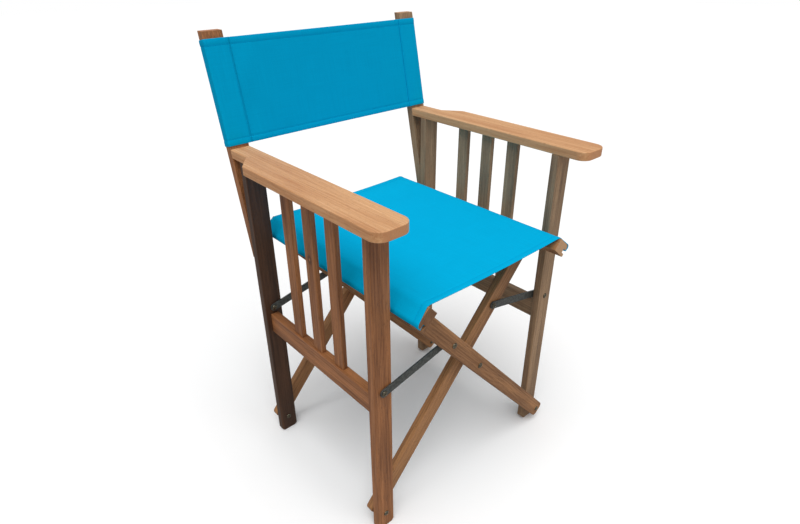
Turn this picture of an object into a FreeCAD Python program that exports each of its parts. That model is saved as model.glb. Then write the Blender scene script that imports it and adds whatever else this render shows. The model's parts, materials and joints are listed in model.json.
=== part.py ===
"""Folding chair: two side frames, two pairs of crossing bars, four steel links and a canvas seat and back.

Millimetres.  +Z is up, the sitter faces -Y, and left and right are as seen from the front (right is +X).
The origin is on the floor, under the middle of the chair's box.
"""
import FreeCAD, Part
import math
import os
import Sketcher

Vector = FreeCAD.Vector
Rotation = FreeCAD.Rotation
Placement = FreeCAD.Placement

LEFT = -1
RIGHT = 1
NEAR = 1e-6  # distances under this, in mm, count as none

doc = FreeCAD.newDocument("FoldingChair")


# ---------------------------------------------------------------------------------------------------------
# Driving dimensions
# ---------------------------------------------------------------------------------------------------------

SIZES = [
    # side frames
    ("foot_span", 437.0, "left to right, between the middles of the posts"),
    ("rear_offset", 341.0, "front face of a front post to front face of a rear post"),
    ("post_wide", 37.0, "post, left to right"),
    ("post_deep", 16.0, "post, front to back"),
    ("foot_chamfer", 5.0, "cut corner at the foot of a post"),
    ("edge_round", 1.5, "rounding along the wooden pieces"),
    ("arm_top", 650.0, "floor to the top of the armrest"),
    ("arm_thick", 16.0, "armrest thickness"),
    ("arm_wide", 65.0, "armrest width"),
    ("arm_overhang", 53.0, "armrest in front of the front post"),
    ("arm_corner", 20.0, "rounding of the armrest's front corners"),
    ("arm_taper_from", 291.0, "front post to where the armrest starts to narrow"),
    ("arm_taper_to", 330.0, "front post to where the armrest is as narrow as the post"),
    ("side_rail_bottom", 275.0, "floor to the underside of the lower side rail"),
    ("side_rail_tall", 43.0, "lower side rail height"),
    ("side_rail_thick", 17.0, "lower side rail, left to right"),
    ("slat_wide", 26.0, "slat, front to back"),
    ("slat_thick", 10.0, "slat, left to right"),
    ("slat_pitch", 64.0, "slat to slat"),
    ("tenon_long", 8.0, "stub tenons of the posts and slats"),
    ("rail_tenon_long", 10.0, "stub tenons of the lower side rail"),
    ("shoulder", 4.0, "a tenon is this much smaller all round than its piece"),
    ("tenon_play", 0.1, "gap round a tenon in its mortise"),
    # back uprights
    ("upright_above_arm", 190.0, "top of the armrest to the top of the upright"),
    ("upright_below_arm", 204.0, "top of the armrest down to the upright's lower end"),
    ("upright_toe_deep", 2.0, "thickness left at the upright's lower end"),
    ("upright_thick", 16.0, "upright, square to its slope"),
    ("upright_lean", 11.9, "slope of the upright, in degrees from vertical"),
    # crossing bars
    ("pivot_height", 35.0, "floor to the foot pivots"),
    ("cross_height", 281.0, "floor to the crossing pivot"),
    ("bar_wide", 33.0, "crossing bar width"),
    ("bar_thick", 15.0, "crossing bar thickness"),
    ("bar_tail", 14.0, "bar beyond its foot pivot"),
    ("bar_corner", 9.0, "rounding of a bar's foot corners"),
    ("bar_upper", 249.5, "crossing pivot to the underside of the seat rail"),
    ("link_gap", 5.0, "gap between a bar and a post, which holds a link"),
    # seat rails and canvas
    ("seat_rail_wide", 35.0, "seat rail, square to its bars"),
    ("seat_rail_inner", 20.5, "bar's middle line to the seat rail's inner face"),
    ("seat_rail_thick", 24.0, "seat rail, along its bars"),
    ("seat_rail_front", 50.0, "seat rail in front of the front posts"),
    ("seat_rail_long", 442.0, "seat rail length"),
    ("seat_rail_round", 6.0, "rounding where the canvas turns over the rail"),
    ("groove_wide", 8.0, "groove that holds the canvas hem"),
    ("groove_deep", 9.0, "depth of that groove"),
    ("groove_down", 10.0, "top of the rail to the groove"),
    ("dowel_thick", 4.8, "dowel inside the canvas hem"),
    ("canvas_thick", 1.6, "canvas"),
    ("canvas_play", 0.4, "gap between the canvas and the wood"),
    ("seat_canvas_inset", 4.0, "seat canvas short of the seat rails at each end"),
    ("back_canvas_above_arm", 5.0, "top of the armrest to the back canvas's lower edge"),
    ("back_canvas_tall", 177.0, "back canvas, along the uprights"),
    # links and fasteners
    ("link_height", 332.5, "floor to a link's pivot on its post"),
    ("link_reach", 111.0, "crossing pivot to a link's pivot on its bar"),
    ("link_wide", 15.0, "link width"),
    ("link_thick", 3.0, "link thickness"),
    ("link_round", 0.49, "rounding of a link's ends, as a share of its width"),
    ("bolt_thick", 6.0, "pivot bolt diameter"),
    ("bolt_play", 0.05, "radial gap round a bolt"),
    ("face_play", 0.1, "gap between faces that turn past each other"),
    ("head_wide", 11.0, "bolt head diameter"),
    ("head_tall", 2.6, "bolt head height"),
    ("head_crown", 0.32, "radius of a bolt head's flat crown, as a share of its width"),
    ("bolt_end", 1.0, "bolt past its nut"),
    ("nut_wide", 10.0, "nut, across the flats"),
    ("nut_tall", 4.0, "nut height"),
    ("washer_wide", 13.0, "washer diameter"),
    ("spacer_wide", 18.0, "spacer diameter"),
    ("screw_thick", 4.5, "wood screw diameter"),
    ("screw_head_wide", 9.0, "wood screw head diameter"),
    ("screw_head_tall", 2.5, "wood screw head height"),
    ("upright_screw_sunk", 1.0, "upright screw's head below the wood"),
    ("rail_screw_sunk", 0.5, "seat rail screw's head below the wood"),
    ("screw_long", 42.0, "seat rail screw"),
    ("upright_screw_long", 14.0, "upright screw, inside the post or the armrest"),
    ("upright_screw_low", 24.0, "upright's lower end to its first screw"),
    ("upright_screw_step", 28.0, "first to second upright screw"),
]

sheet = doc.addObject("Spreadsheet::Sheet", "Sizes")
for row, (alias, value, meaning) in enumerate(SIZES, start=1):
    sheet.set(f"A{row}", meaning)
    sheet.set(f"B{row}", str(value))
    sheet.setAlias(f"B{row}", alias)
doc.recompute()

# Places that several pieces share, worked out from the sheet.
DERIVED = [
    ("side_x", "Sizes.foot_span / 2"),
    ("bar_angle", "atan((Sizes.cross_height - Sizes.pivot_height) / (Sizes.foot_span / 2))"),
    ("bar_lower", "sqrt((Sizes.foot_span / 2)^2 + (Sizes.cross_height - Sizes.pivot_height)^2)"),
    ("arm_under", "Sizes.arm_top - Sizes.arm_thick"),
    ("slope", "tan(Sizes.upright_lean)"),
    ("upright_top", "Sizes.arm_top + Sizes.upright_above_arm"),
    # The upright's lower end stays clear of the rear link's pivot, however low the armrest is.
    ("upright_toe", "max(Sizes.arm_top - Sizes.upright_below_arm; Sizes.link_height + Sizes.link_wide)"),
    ("upright_deep", "Sizes.upright_thick / cos(Sizes.upright_lean)"),
    ("front_y", "(Sizes.arm_overhang - Sizes.rear_offset - Sizes.post_deep - Sizes.upright_toe_deep"
                " - (upright_top - upright_toe) * slope) / 2"),
    ("side_rail_top", "Sizes.side_rail_bottom + Sizes.side_rail_tall"),
    ("link_run", "(bar_lower - Sizes.link_reach) * cos(bar_angle)"),
    ("link_rise", "(bar_lower + Sizes.link_reach) * sin(bar_angle) + Sizes.pivot_height - Sizes.link_height"),
    ("link_long", "sqrt(link_run^2 + link_rise^2)"),
    ("link_angle", "atan(link_rise / link_run)"),
    ("bolt_r", "Sizes.bolt_thick / 2"),
    ("hole_r", "Sizes.bolt_thick / 2 + Sizes.bolt_play"),
    ("screw_r", "Sizes.screw_thick / 2"),
    ("screw_hole_r", "Sizes.screw_thick / 2 + Sizes.bolt_play"),
]

places = doc.addObject("App::VarSet", "Places")
for alias, formula in DERIVED:
    places.addProperty("App::PropertyFloat", alias, "Places", formula)
    places.setExpression(alias, formula)
    doc.recompute()


def size(formula):
    """The present value of an expression over the sheet's sizes and the shared places."""
    return float(getattr(places.evalExpression(formula), "Value", places.evalExpression(formula)))


# ---------------------------------------------------------------------------------------------------------
# Building blocks
# ---------------------------------------------------------------------------------------------------------

def polygon(sketch, corners):
    """Draw a closed outline in a sketch; each corner is a pair of expressions."""
    values = [Vector(size(across), size(up), 0) for across, up in corners]
    count = len(values)
    for index, start in enumerate(values):
        sketch.addGeometry(Part.LineSegment(start, values[(index + 1) % count]))
    for index in range(count):
        sketch.addConstraint(Sketcher.Constraint("Coincident", index, 2, (index + 1) % count, 1))
    for index, (across, up) in enumerate(corners):
        pin_point(sketch, index, 1, across, up)


def circle(sketch, across, up, radius):
    """Draw a circle in a sketch; its middle and radius are expressions."""
    middle = Vector(size(across), size(up), 0)
    index = sketch.addGeometry(Part.Circle(middle, Vector(0, 0, 1), size(radius)))
    pin_point(sketch, index, 3, across, up)
    named = sketch.addConstraint(Sketcher.Constraint("Radius", index, size(radius)))
    sketch.setExpression(f"Constraints[{named}]", radius)


def pin_point(sketch, index, point, across, up):
    """Tie one point of a sketch to its two expressions."""
    for kind, formula in (("DistanceX", across), ("DistanceY", up)):
        constraint = Sketcher.Constraint(kind, -1, 1, index, point, size(formula))
        named = sketch.addConstraint(constraint)
        sketch.setExpression(f"Constraints[{named}]", formula)


def rectangle(across_from, across_to, up_from, up_to):
    """Corners of a rectangle, as pairs of expressions."""
    return [(across_from, up_from), (across_to, up_from), (across_to, up_to), (across_from, up_to)]


def put(item, x="0", y="0", z="0", axis=Vector(0, 1, 0), turn="0"):
    """Place an object with expressions: a position, and a turn in degrees about one axis."""
    item.Placement = Placement(Vector(0, 0, 0), Rotation(axis, 1))
    item.setExpression("Placement.Rotation.Angle", turn)
    for letter, formula in (("x", x), ("y", y), ("z", z)):
        item.setExpression(f"Placement.Base.{letter}", formula)


class Piece:
    """One solid piece, built up as a PartDesign body."""

    def __init__(self, label):
        self.body = doc.addObject("PartDesign::Body", label)
        self.body.Label = label

    def sketch(self, plane, level="0"):
        """A new sketch on one of the body's own planes, or parallel to it."""
        sketch = self.body.newObject("Sketcher::SketchObject", self.body.Name + "_sketch")
        support = [item for item in self.body.Origin.OriginFeatures if item.Role == plane + "_Plane"]
        sketch.AttachmentSupport = [(support[0], "")]
        sketch.MapMode = "FlatFace"
        sketch.setExpression(".AttachmentOffset.Base.z", level)
        return sketch

    def pad(self, plane, corners, length, level="0", back=False):
        """Add a prism on an outline."""
        sketch = self.sketch(plane, level)
        polygon(sketch, corners)
        pad = self.body.newObject("PartDesign::Pad", self.body.Name + "_pad")
        pad.Profile = sketch
        pad.setExpression("Length", length)
        pad.Reversed = back
        doc.recompute()
        return pad

    def cut(self, plane, level, length=None, corners=None, holes=(), back=False):
        """Cut an outline and round holes, to a depth or right through, and check that it removed wood."""
        before = self.body.Shape.Volume
        sketch = self.sketch(plane, level)
        if corners:
            polygon(sketch, corners)
        for hole in holes:
            circle(sketch, *hole)
        pocket = self.body.newObject("PartDesign::Pocket", self.body.Name + "_cut")
        pocket.Profile = sketch
        pocket.Reversed = back
        if length is None:
            pocket.Type = "ThroughAll"
        else:
            pocket.setExpression("Length", length)
        doc.recompute()
        if not self.body.Shape.Volume < before:
            raise RuntimeError(f"{self.body.Label}: a cut removed nothing")

    def round(self, radius, chosen=None):
        """Round the chosen edges, or all of them."""
        edges = self.body.Shape.Edges
        names = [f"Edge{i + 1}" for i, edge in enumerate(edges) if chosen is None or chosen(edge)]
        fillet = self.body.newObject("PartDesign::Fillet", self.body.Name + "_round")
        fillet.Base = (self.body.Tip if self.body.Tip != fillet else self.body.Group[-2], names)
        fillet.setExpression("Radius", radius)
        doc.recompute()

    def put(self, **where):
        """Place the piece, last of all."""
        put(self.body, **where)


def runs_along(edge, axis):
    """True for a straight edge parallel to an axis."""
    if len(edge.Vertexes) < 2:
        return False
    way = edge.Vertexes[1].Point - edge.Vertexes[0].Point
    return way.Length > 0 and abs(abs(way.normalize().dot(axis)) - 1) < NEAR


def cylinder(name, radius, height, **where):
    """A Part cylinder; its axis is its own Z."""
    item = doc.addObject("Part::Cylinder", name)
    item.setExpression("Radius", radius)
    item.setExpression("Height", height)
    put(item, **where)
    return item


def joined(kind, label, items):
    """A Part::MultiFuse or Part::Compound of several objects, under a label of its own."""
    item = doc.addObject(kind, label)
    item.Label = label
    if kind == "Part::MultiFuse":
        item.Shapes = items
    else:
        item.Links = items
    return item


def cut_out(name, base, tool):
    """A Part::Cut of one object by another."""
    item = doc.addObject("Part::Cut", name)
    item.Base = base
    item.Tool = tool
    return item


ALONG_X = Vector(1, 0, 0)
TO_BACK = "-90"
TO_FRONT = "90"


def bolt(name, x, head_y, z, grip, head_at_front=True):
    """A round-headed bolt along Y: head_y is the face under its head, and grip the shank's length."""
    turn = TO_BACK if head_at_front else TO_FRONT
    away = TO_FRONT if head_at_front else TO_BACK
    shank = cylinder(name + "_shank", "Places.bolt_r", grip, x=x, y=head_y, z=z, axis=ALONG_X, turn=turn)
    head = doc.addObject("Part::Cone", name + "_head")
    head.setExpression("Radius1", "Sizes.head_wide / 2")
    head.setExpression("Radius2", "Sizes.head_wide * Sizes.head_crown")
    head.setExpression("Height", "Sizes.head_tall")
    put(head, x=x, y=head_y, z=z, axis=ALONG_X, turn=away)
    return joined("Part::MultiFuse", name, [shank, head])


def nut(name, x, front_y, z):
    """A hexagon nut along Y, with a plain bore round its bolt."""
    blank = doc.addObject("Part::Prism", name + "_blank")
    blank.Polygon = 6
    blank.setExpression("Circumradius", "Sizes.nut_wide / sqrt(3)")
    blank.setExpression("Height", "Sizes.nut_tall")
    put(blank, x=x, y=front_y, z=z, axis=ALONG_X, turn=TO_BACK)
    bore = cylinder(name + "_bore", "Places.hole_r", "Sizes.nut_tall",
                    x=x, y=front_y, z=z, axis=ALONG_X, turn=TO_BACK)
    return cut_out(name, blank, bore)


def ring(name, x, front_y, z, width, thick):
    """A washer or spacer along Y."""
    blank = cylinder(name + "_blank", f"{width} / 2", thick, x=x, y=front_y, z=z, axis=ALONG_X, turn=TO_BACK)
    bore = cylinder(name + "_bore", "Places.hole_r", thick, x=x, y=front_y, z=z, axis=ALONG_X, turn=TO_BACK)
    return cut_out(name, blank, bore)


def front_and_rear(label, make):
    """One node with the same fastener at the front posts and at the rear posts."""
    pair = [make(label + "_front", "Places.front_y"),
            make(label + "_rear", "(Places.front_y + Sizes.rear_offset)")]
    return joined("Part::Compound", label, pair)


nodes = []


def keep(item, label=None):
    """Count an object as one of the chair's nodes."""
    item = getattr(item, "body", item)
    if label:
        item.Label = label
    nodes.append(item)
    return item


def name_of(side):
    """left or right."""
    return "left" if side == LEFT else "right"


# ---------------------------------------------------------------------------------------------------------
# Side frames
# ---------------------------------------------------------------------------------------------------------

def centred(full, less="0"):
    """A span as wide as an expression, less an amount at each end, centred on zero."""
    return f"-({full} / 2 - ({less}))", f"({full} / 2 - ({less}))"


def post(side, rear):
    """A post: chamfered foot, stub tenon at the top, mortise for the lower side rail, bolt holes."""
    piece = Piece(f"{name_of(side)}_{'rear' if rear else 'front'}_post")
    low, high = centred("Sizes.post_wide")
    cut = "Sizes.foot_chamfer"
    outline = [(f"{low} + {cut}", "0"), (f"{high} - {cut}", "0"), (high, cut), (high, "Places.arm_under"),
               (low, "Places.arm_under"), (low, cut)]
    piece.pad("XZ", outline, "Sizes.post_deep", back=True)
    piece.round("Sizes.edge_round")
    tenon = rectangle(*centred("Sizes.post_wide", "Sizes.shoulder"), "Sizes.shoulder",
                      "Sizes.post_deep - Sizes.shoulder")
    piece.pad("XY", tenon, "Sizes.tenon_long + Sizes.edge_round", level="Places.arm_under - Sizes.edge_round")
    holes = [("0", "Sizes.pivot_height", "Places.hole_r"), ("0", "Sizes.link_height", "Places.hole_r")]
    piece.cut("XZ", "0", holes=holes)
    mortise = rectangle(*centred("Sizes.side_rail_thick", "Sizes.shoulder - Sizes.tenon_play"),
                        "Sizes.side_rail_bottom + Sizes.shoulder - Sizes.tenon_play",
                        "Places.side_rail_top - Sizes.shoulder + Sizes.tenon_play")
    depth = "Sizes.rail_tenon_long + Sizes.tenon_play"
    if rear:
        piece.cut("XZ", "0", depth, mortise)
        screws = [("0", level, "Places.screw_hole_r") for level in upright_screw_levels()[:2]]
        piece.cut("XZ", "-Sizes.post_deep", "Sizes.upright_screw_long + Sizes.tenon_play",
                  holes=screws, back=True)
    else:
        piece.cut("XZ", "-Sizes.post_deep", depth, mortise, back=True)
    setback = " + Sizes.rear_offset" if rear else ""
    piece.put(x=f"{side} * Places.side_x", y="Places.front_y" + setback)
    return keep(piece)


def upright_screw_levels():
    """Heights of the two upright screws in the post, and of the one in the armrest's end."""
    first = "Places.upright_toe + Sizes.upright_screw_low"
    return [first, f"{first} + Sizes.upright_screw_step", "Sizes.arm_top - Sizes.arm_thick / 2"]


def lower_side_rail(side):
    """The rail between the posts that carries the slats."""
    piece = Piece(f"{name_of(side)}_lower_side_rail")
    low, high = centred("Sizes.side_rail_thick")
    span = "Sizes.rear_offset - Sizes.post_deep"
    piece.pad("XZ", rectangle(low, high, "0", "Sizes.side_rail_tall"), span, back=True)
    piece.round("Sizes.edge_round")
    tenon = rectangle(*centred("Sizes.side_rail_thick", "Sizes.shoulder"), "Sizes.shoulder",
                      "Sizes.side_rail_tall - Sizes.shoulder")
    piece.pad("XZ", tenon, "Sizes.rail_tenon_long + Sizes.edge_round", level="-Sizes.edge_round")
    piece.pad("XZ", tenon, "Sizes.rail_tenon_long + Sizes.edge_round",
              level=f"-({span} - Sizes.edge_round)", back=True)
    for place in slat_places("- Sizes.post_deep"):
        piece.cut("XY", "Sizes.side_rail_tall", "Sizes.tenon_long + Sizes.tenon_play", slat_mortise(place))
    piece.put(x=f"{side} * Places.side_x", y="Places.front_y + Sizes.post_deep", z="Sizes.side_rail_bottom")
    return keep(piece)


def slat_places(shift):
    """Middles of the three slats, measured from the front post's front face and then shifted."""
    middle = "(Sizes.rear_offset + Sizes.post_deep) / 2"
    return [f"({middle} + {step} * Sizes.slat_pitch {shift})" for step in (-1, 0, 1)]


def slat_mortise(place):
    """Outline of a slat's mortise in plan, about the slat's middle."""
    half_deep = "(Sizes.slat_wide / 2 - Sizes.shoulder + Sizes.tenon_play)"
    return rectangle(*centred("Sizes.slat_thick", "Sizes.shoulder / 2 - Sizes.tenon_play"),
                     f"{place} - {half_deep}", f"{place} + {half_deep}")


def slats(side):
    """Three slats with stub tenons, from the lower side rail up to the armrest."""
    for name, place in zip(("front", "middle", "rear"), slat_places("")):
        piece = Piece(f"{name_of(side)}_slat_{name}")
        plan = rectangle(*centred("Sizes.slat_thick"), *centred("Sizes.slat_wide"))
        tall = "(Places.arm_under - Places.side_rail_top)"
        piece.pad("XY", plan, tall)
        piece.round("Sizes.edge_round")
        tenon = rectangle(*centred("Sizes.slat_thick", "Sizes.shoulder / 2"),
                          *centred("Sizes.slat_wide", "Sizes.shoulder"))
        reach = "Sizes.tenon_long + Sizes.edge_round"
        piece.pad("XY", tenon, reach, level=f"{tall} - Sizes.edge_round")
        piece.pad("XY", tenon, reach, level="Sizes.edge_round", back=True)
        piece.put(x=f"{side} * Places.side_x", y=f"Places.front_y + {place}", z="Places.side_rail_top")
        keep(piece)


def armrest(side):
    """The armrest: rounded at the front, narrowed at the back, and cut to the upright's slope."""
    piece = Piece(f"{name_of(side)}_armrest")
    inner = f"{-side} * Sizes.post_wide / 2"
    outer = f"{side} * (Sizes.arm_wide - Sizes.post_wide / 2)"
    narrow = f"{side} * Sizes.post_wide / 2"
    top_y = upright_front("Sizes.arm_top")
    outline = [(inner, "-Sizes.arm_overhang"), (outer, "-Sizes.arm_overhang"), (outer, "Sizes.arm_taper_from"),
               (narrow, "Sizes.arm_taper_to"), (narrow, top_y), (inner, top_y)]
    piece.pad("XY", outline, "Sizes.arm_thick")
    front = -size("Sizes.arm_overhang")
    upward = Vector(0, 0, 1)
    piece.round("Sizes.arm_corner", lambda e: runs_along(e, upward) and abs(e.CenterOfMass.y - front) < NEAR)
    taper = (size("Sizes.arm_taper_from"), size("Sizes.arm_taper_to"))
    piece.round("Sizes.arm_corner / 3", lambda e: runs_along(e, upward)
                and min(abs(e.CenterOfMass.y - y) for y in taper) < NEAR)
    piece.round("Sizes.edge_round")
    below = upright_front("Places.arm_under")
    wedge = [(below, "-Sizes.edge_round"), (below, "0"), (top_y, "Sizes.arm_thick"),
             (f"{top_y} + Sizes.edge_round", "Sizes.arm_thick"),
             (f"{top_y} + Sizes.edge_round", "-Sizes.edge_round")]
    piece.cut("YZ", "-Sizes.arm_wide", corners=wedge, back=True)
    depth = "Sizes.tenon_long + Sizes.tenon_play"
    for start in ("0", "Sizes.rear_offset"):
        socket = rectangle(*centred("Sizes.post_wide", "Sizes.shoulder - Sizes.tenon_play"),
                           f"{start} + Sizes.shoulder - Sizes.tenon_play",
                           f"{start} + Sizes.post_deep - Sizes.shoulder + Sizes.tenon_play")
        piece.cut("XY", "0", depth, socket, back=True)
    for place in slat_places(""):
        piece.cut("XY", "0", depth, slat_mortise(place), back=True)
    piece.cut("XZ", f"-({below} - Sizes.upright_screw_long)", holes=[("0", "Sizes.arm_thick / 2",
                                                                       "Places.screw_hole_r")])
    piece.put(x=f"{side} * Places.side_x", y="Places.front_y", z="Places.arm_under")
    return keep(piece)


def upright_back(height):
    """The upright's back face at a height, from the front post's front face."""
    toe = "(Sizes.rear_offset + Sizes.post_deep + Sizes.upright_toe_deep)"
    return f"({toe} + ({height} - Places.upright_toe) * Places.slope)"


def upright_front(height):
    """The upright's front face at a height, from the front post's front face."""
    return f"({upright_back(height)} - Places.upright_deep)"


def back_upright(side):
    """The leaning upright: its lower end is cut away to lie on the back of the rear post."""
    piece = Piece(f"{name_of(side)}_back_upright")
    post_back = "(Sizes.rear_offset + Sizes.post_deep)"
    meets = "(Places.upright_toe + (Places.upright_deep - Sizes.upright_toe_deep) / Places.slope)"
    outline = [(post_back, "Places.upright_toe"), (upright_back("Places.upright_toe"), "Places.upright_toe"),
               (upright_back("Places.upright_top"), "Places.upright_top"),
               (upright_front("Places.upright_top"), "Places.upright_top"), (post_back, meets)]
    piece.pad("YZ", outline, "Sizes.post_wide", level="-Sizes.post_wide / 2")
    sides = size("Sizes.post_wide") / 2
    toe = size("Places.upright_toe")
    piece.round("Sizes.edge_round / 2", lambda e: abs(abs(e.CenterOfMass.x) - sides) < NEAR
                and e.CenterOfMass.z > toe + NEAR)
    for level in upright_screw_levels():
        piece.cut("XZ", "0", holes=[("0", level, "Places.screw_hole_r")])
        sunk = f"-({upright_back(level)} - Sizes.screw_head_tall - Sizes.upright_screw_sunk)"
        piece.cut("XZ", sunk, holes=[("0", level, "Sizes.screw_head_wide / 2 + Sizes.bolt_play")])
    piece.put(x=f"{side} * Places.side_x", y="Places.front_y")
    return keep(piece)


def upright_screws(side):
    """Three screws from behind: two into the rear post, one into the armrest's end."""
    label = f"{name_of(side)}_upright_screws"
    ends = ["(Sizes.rear_offset + Sizes.post_deep)"] * 2 + [upright_front("Places.arm_under")]
    screws = []
    for number, (level, end) in enumerate(zip(upright_screw_levels(), ends), start=1):
        seat = f"({upright_back(level)} - Sizes.screw_head_tall - Sizes.upright_screw_sunk)"
        place = {"x": f"{side} * Places.side_x", "y": f"Places.front_y + {seat}", "z": level}
        shank = cylinder(f"{label}_{number}_shank", "Places.screw_r",
                         f"{seat} - {end} + Sizes.upright_screw_long", axis=ALONG_X, turn=TO_FRONT, **place)
        head = cylinder(f"{label}_{number}_head", "Sizes.screw_head_wide / 2", "Sizes.screw_head_tall",
                        axis=ALONG_X, turn=TO_BACK, **place)
        screws.append(joined("Part::MultiFuse", f"{label}_{number}", [shank, head]))
    return keep(joined("Part::Compound", label, screws))


# ---------------------------------------------------------------------------------------------------------
# Crossing bars and seat rails
# ---------------------------------------------------------------------------------------------------------

# Bars A run from the right foot up to the left seat rail, in front of the posts; bars B run from the left
# foot up to the right seat rail, behind the posts.  Each pair is drawn along its own X from its foot pivot.
BAR_A_SET = "(-Sizes.link_gap - Sizes.bar_thick)"
BAR_B_SET = "(Sizes.post_deep + Sizes.link_gap)"


def bar_turn(side):
    """Turn about Y that points a bar's own X up towards the seat rail on that side."""
    return "-Places.bar_angle" if side == RIGHT else "Places.bar_angle - 180"


def crossing_bar(label, rail_side, setback):
    """One bar: rounded at the foot, square under its seat rail, with three pivot holes and a screw hole."""
    piece = Piece(label)
    low, high = centred("Sizes.bar_wide")
    top = "(Places.bar_lower + Sizes.bar_upper)"
    piece.pad("XZ", rectangle("-Sizes.bar_tail", top, low, high), "Sizes.bar_thick", back=True)
    tail = -size("Sizes.bar_tail")
    across = Vector(0, 1, 0)
    piece.round("Sizes.bar_corner", lambda e: runs_along(e, across) and abs(e.CenterOfMass.x - tail) < NEAR)
    end = size(top)
    piece.round("Sizes.edge_round", lambda e: e.CenterOfMass.x < end - NEAR)
    reach = [("0", "0"), ("Places.bar_lower", "0"), ("Places.bar_lower + Sizes.link_reach", "0")]
    piece.cut("XZ", "0", holes=[(*place, "Places.hole_r") for place in reach])
    depth = "Sizes.screw_long - Sizes.seat_rail_thick + Sizes.tenon_play"
    piece.cut("YZ", top, depth, holes=[("Sizes.bar_thick / 2", "0", "Places.screw_hole_r")])
    piece.put(x=f"{-rail_side} * Places.side_x", y=f"Places.front_y + {setback}", z="Sizes.pivot_height",
              turn=bar_turn(rail_side))
    return keep(piece)


def seat_rail(side):
    """The rail across the tops of two bars, with the groove that holds the canvas hem."""
    piece = Piece(f"{name_of(side)}_seat_rail")
    low = "Sizes.bar_upper"
    high = "(Sizes.bar_upper + Sizes.seat_rail_thick)"
    inner = f"({side} * Sizes.seat_rail_inner)"
    outer = f"({-side} * (Sizes.seat_rail_wide - Sizes.seat_rail_inner))"
    floor = f"({-side} * (Sizes.seat_rail_wide - Sizes.seat_rail_inner - Sizes.groove_deep))"
    groove_top = f"({high} - Sizes.groove_down)"
    groove_low = f"({groove_top} - Sizes.groove_wide)"
    outline = [(low, inner), (high, inner), (high, outer), (groove_top, outer), (groove_top, floor),
               (groove_low, floor), (groove_low, outer), (low, outer)]
    piece.pad("XZ", outline, "Sizes.seat_rail_long", back=True)
    along = Vector(0, 1, 0)
    top, far, near = size(high), size(outer), size(inner)
    piece.round("Sizes.seat_rail_round", lambda e: runs_along(e, along) and abs(e.CenterOfMass.x - top) < NEAR
                and abs(e.CenterOfMass.z - far) < NEAR)
    piece.round("Sizes.edge_round", lambda e: runs_along(e, along) and abs(e.CenterOfMass.x - top) < NEAR
                and abs(e.CenterOfMass.z - near) < NEAR)
    places_along = bar_middles(side)
    piece.cut("YZ", high, holes=[(place, "0", "Places.screw_hole_r") for place in places_along])
    sink = [(place, "0", "Sizes.screw_head_wide / 2 + Sizes.bolt_play") for place in places_along]
    piece.cut("YZ", high, "Sizes.screw_head_tall + Sizes.rail_screw_sunk", holes=sink)
    piece.put(y="Places.front_y - Sizes.seat_rail_front", z="Sizes.cross_height", turn=bar_turn(side))
    return keep(piece)


def bar_middles(side):
    """Middles of the two bars under a seat rail, along the rail from its front end."""
    setback = BAR_A_SET if side == LEFT else BAR_B_SET
    first = f"(Sizes.seat_rail_front + {setback} + Sizes.bar_thick / 2)"
    return [first, f"({first} + Sizes.rear_offset)"]


def seat_rail_screws(side):
    """Two screws down through a seat rail into its bars' ends."""
    label = f"{name_of(side)}_seat_rail_screws"
    seat = "(Sizes.bar_upper + Sizes.seat_rail_thick - Sizes.screw_head_tall - Sizes.rail_screw_sunk)"
    down = "270 - Places.bar_angle" if side == RIGHT else "90 + Places.bar_angle"
    up = "90 - Places.bar_angle" if side == RIGHT else "Places.bar_angle - 90"
    screws = []
    for number, place in enumerate(bar_middles(side), start=1):
        where = {"x": f"{side} * {seat} * cos(Places.bar_angle)",
                 "y": f"Places.front_y - Sizes.seat_rail_front + {place}",
                 "z": f"Sizes.cross_height + {seat} * sin(Places.bar_angle)"}
        shank = cylinder(f"{label}_{number}_shank", "Places.screw_r",
                         "Sizes.screw_long - Sizes.screw_head_tall - Sizes.rail_screw_sunk", turn=down, **where)
        head = cylinder(f"{label}_{number}_head", "Sizes.screw_head_wide / 2", "Sizes.screw_head_tall",
                        turn=up, **where)
        screws.append(joined("Part::MultiFuse", f"{label}_{number}", [shank, head]))
    return keep(joined("Part::Compound", label, screws))


def rail_frame(side):
    """Crossing point and the unit ways along a bar and outwards across it, seen from the front."""
    angle = math.radians(size("Places.bar_angle"))
    origin = Vector(0, 0, size("Sizes.cross_height"))
    along = Vector(side * math.cos(angle), 0, math.sin(angle))
    outward = Vector(side * math.sin(angle), 0, -math.cos(angle))
    return origin, along, outward


def hem_dowel(side):
    """The dowel inside the canvas hem, which keeps the hem in its groove."""
    label = f"{name_of(side)}_hem_dowel"
    wall = "Sizes.seat_rail_wide - Sizes.seat_rail_inner"
    down = ("(Sizes.bar_upper + Sizes.seat_rail_thick - Sizes.groove_down - Sizes.canvas_thick"
            " - 2 * Sizes.canvas_play - Sizes.dowel_thick / 2)")
    out = f"({wall} - Sizes.groove_deep + Sizes.dowel_thick / 2 + Sizes.canvas_thick + 2 * Sizes.canvas_play)"
    item = cylinder(label, "Sizes.dowel_thick / 2", "Sizes.seat_rail_long - 2 * Sizes.seat_canvas_inset",
                    x=f"{side} * ({down} * cos(Places.bar_angle) + {out} * sin(Places.bar_angle))",
                    y="Places.front_y - Sizes.seat_rail_front + Sizes.seat_canvas_inset",
                    z=f"Sizes.cross_height + {down} * sin(Places.bar_angle) - {out} * cos(Places.bar_angle)",
                    axis=ALONG_X, turn=TO_BACK)
    return keep(item, label)


# ---------------------------------------------------------------------------------------------------------
# Canvas
# ---------------------------------------------------------------------------------------------------------

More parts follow.
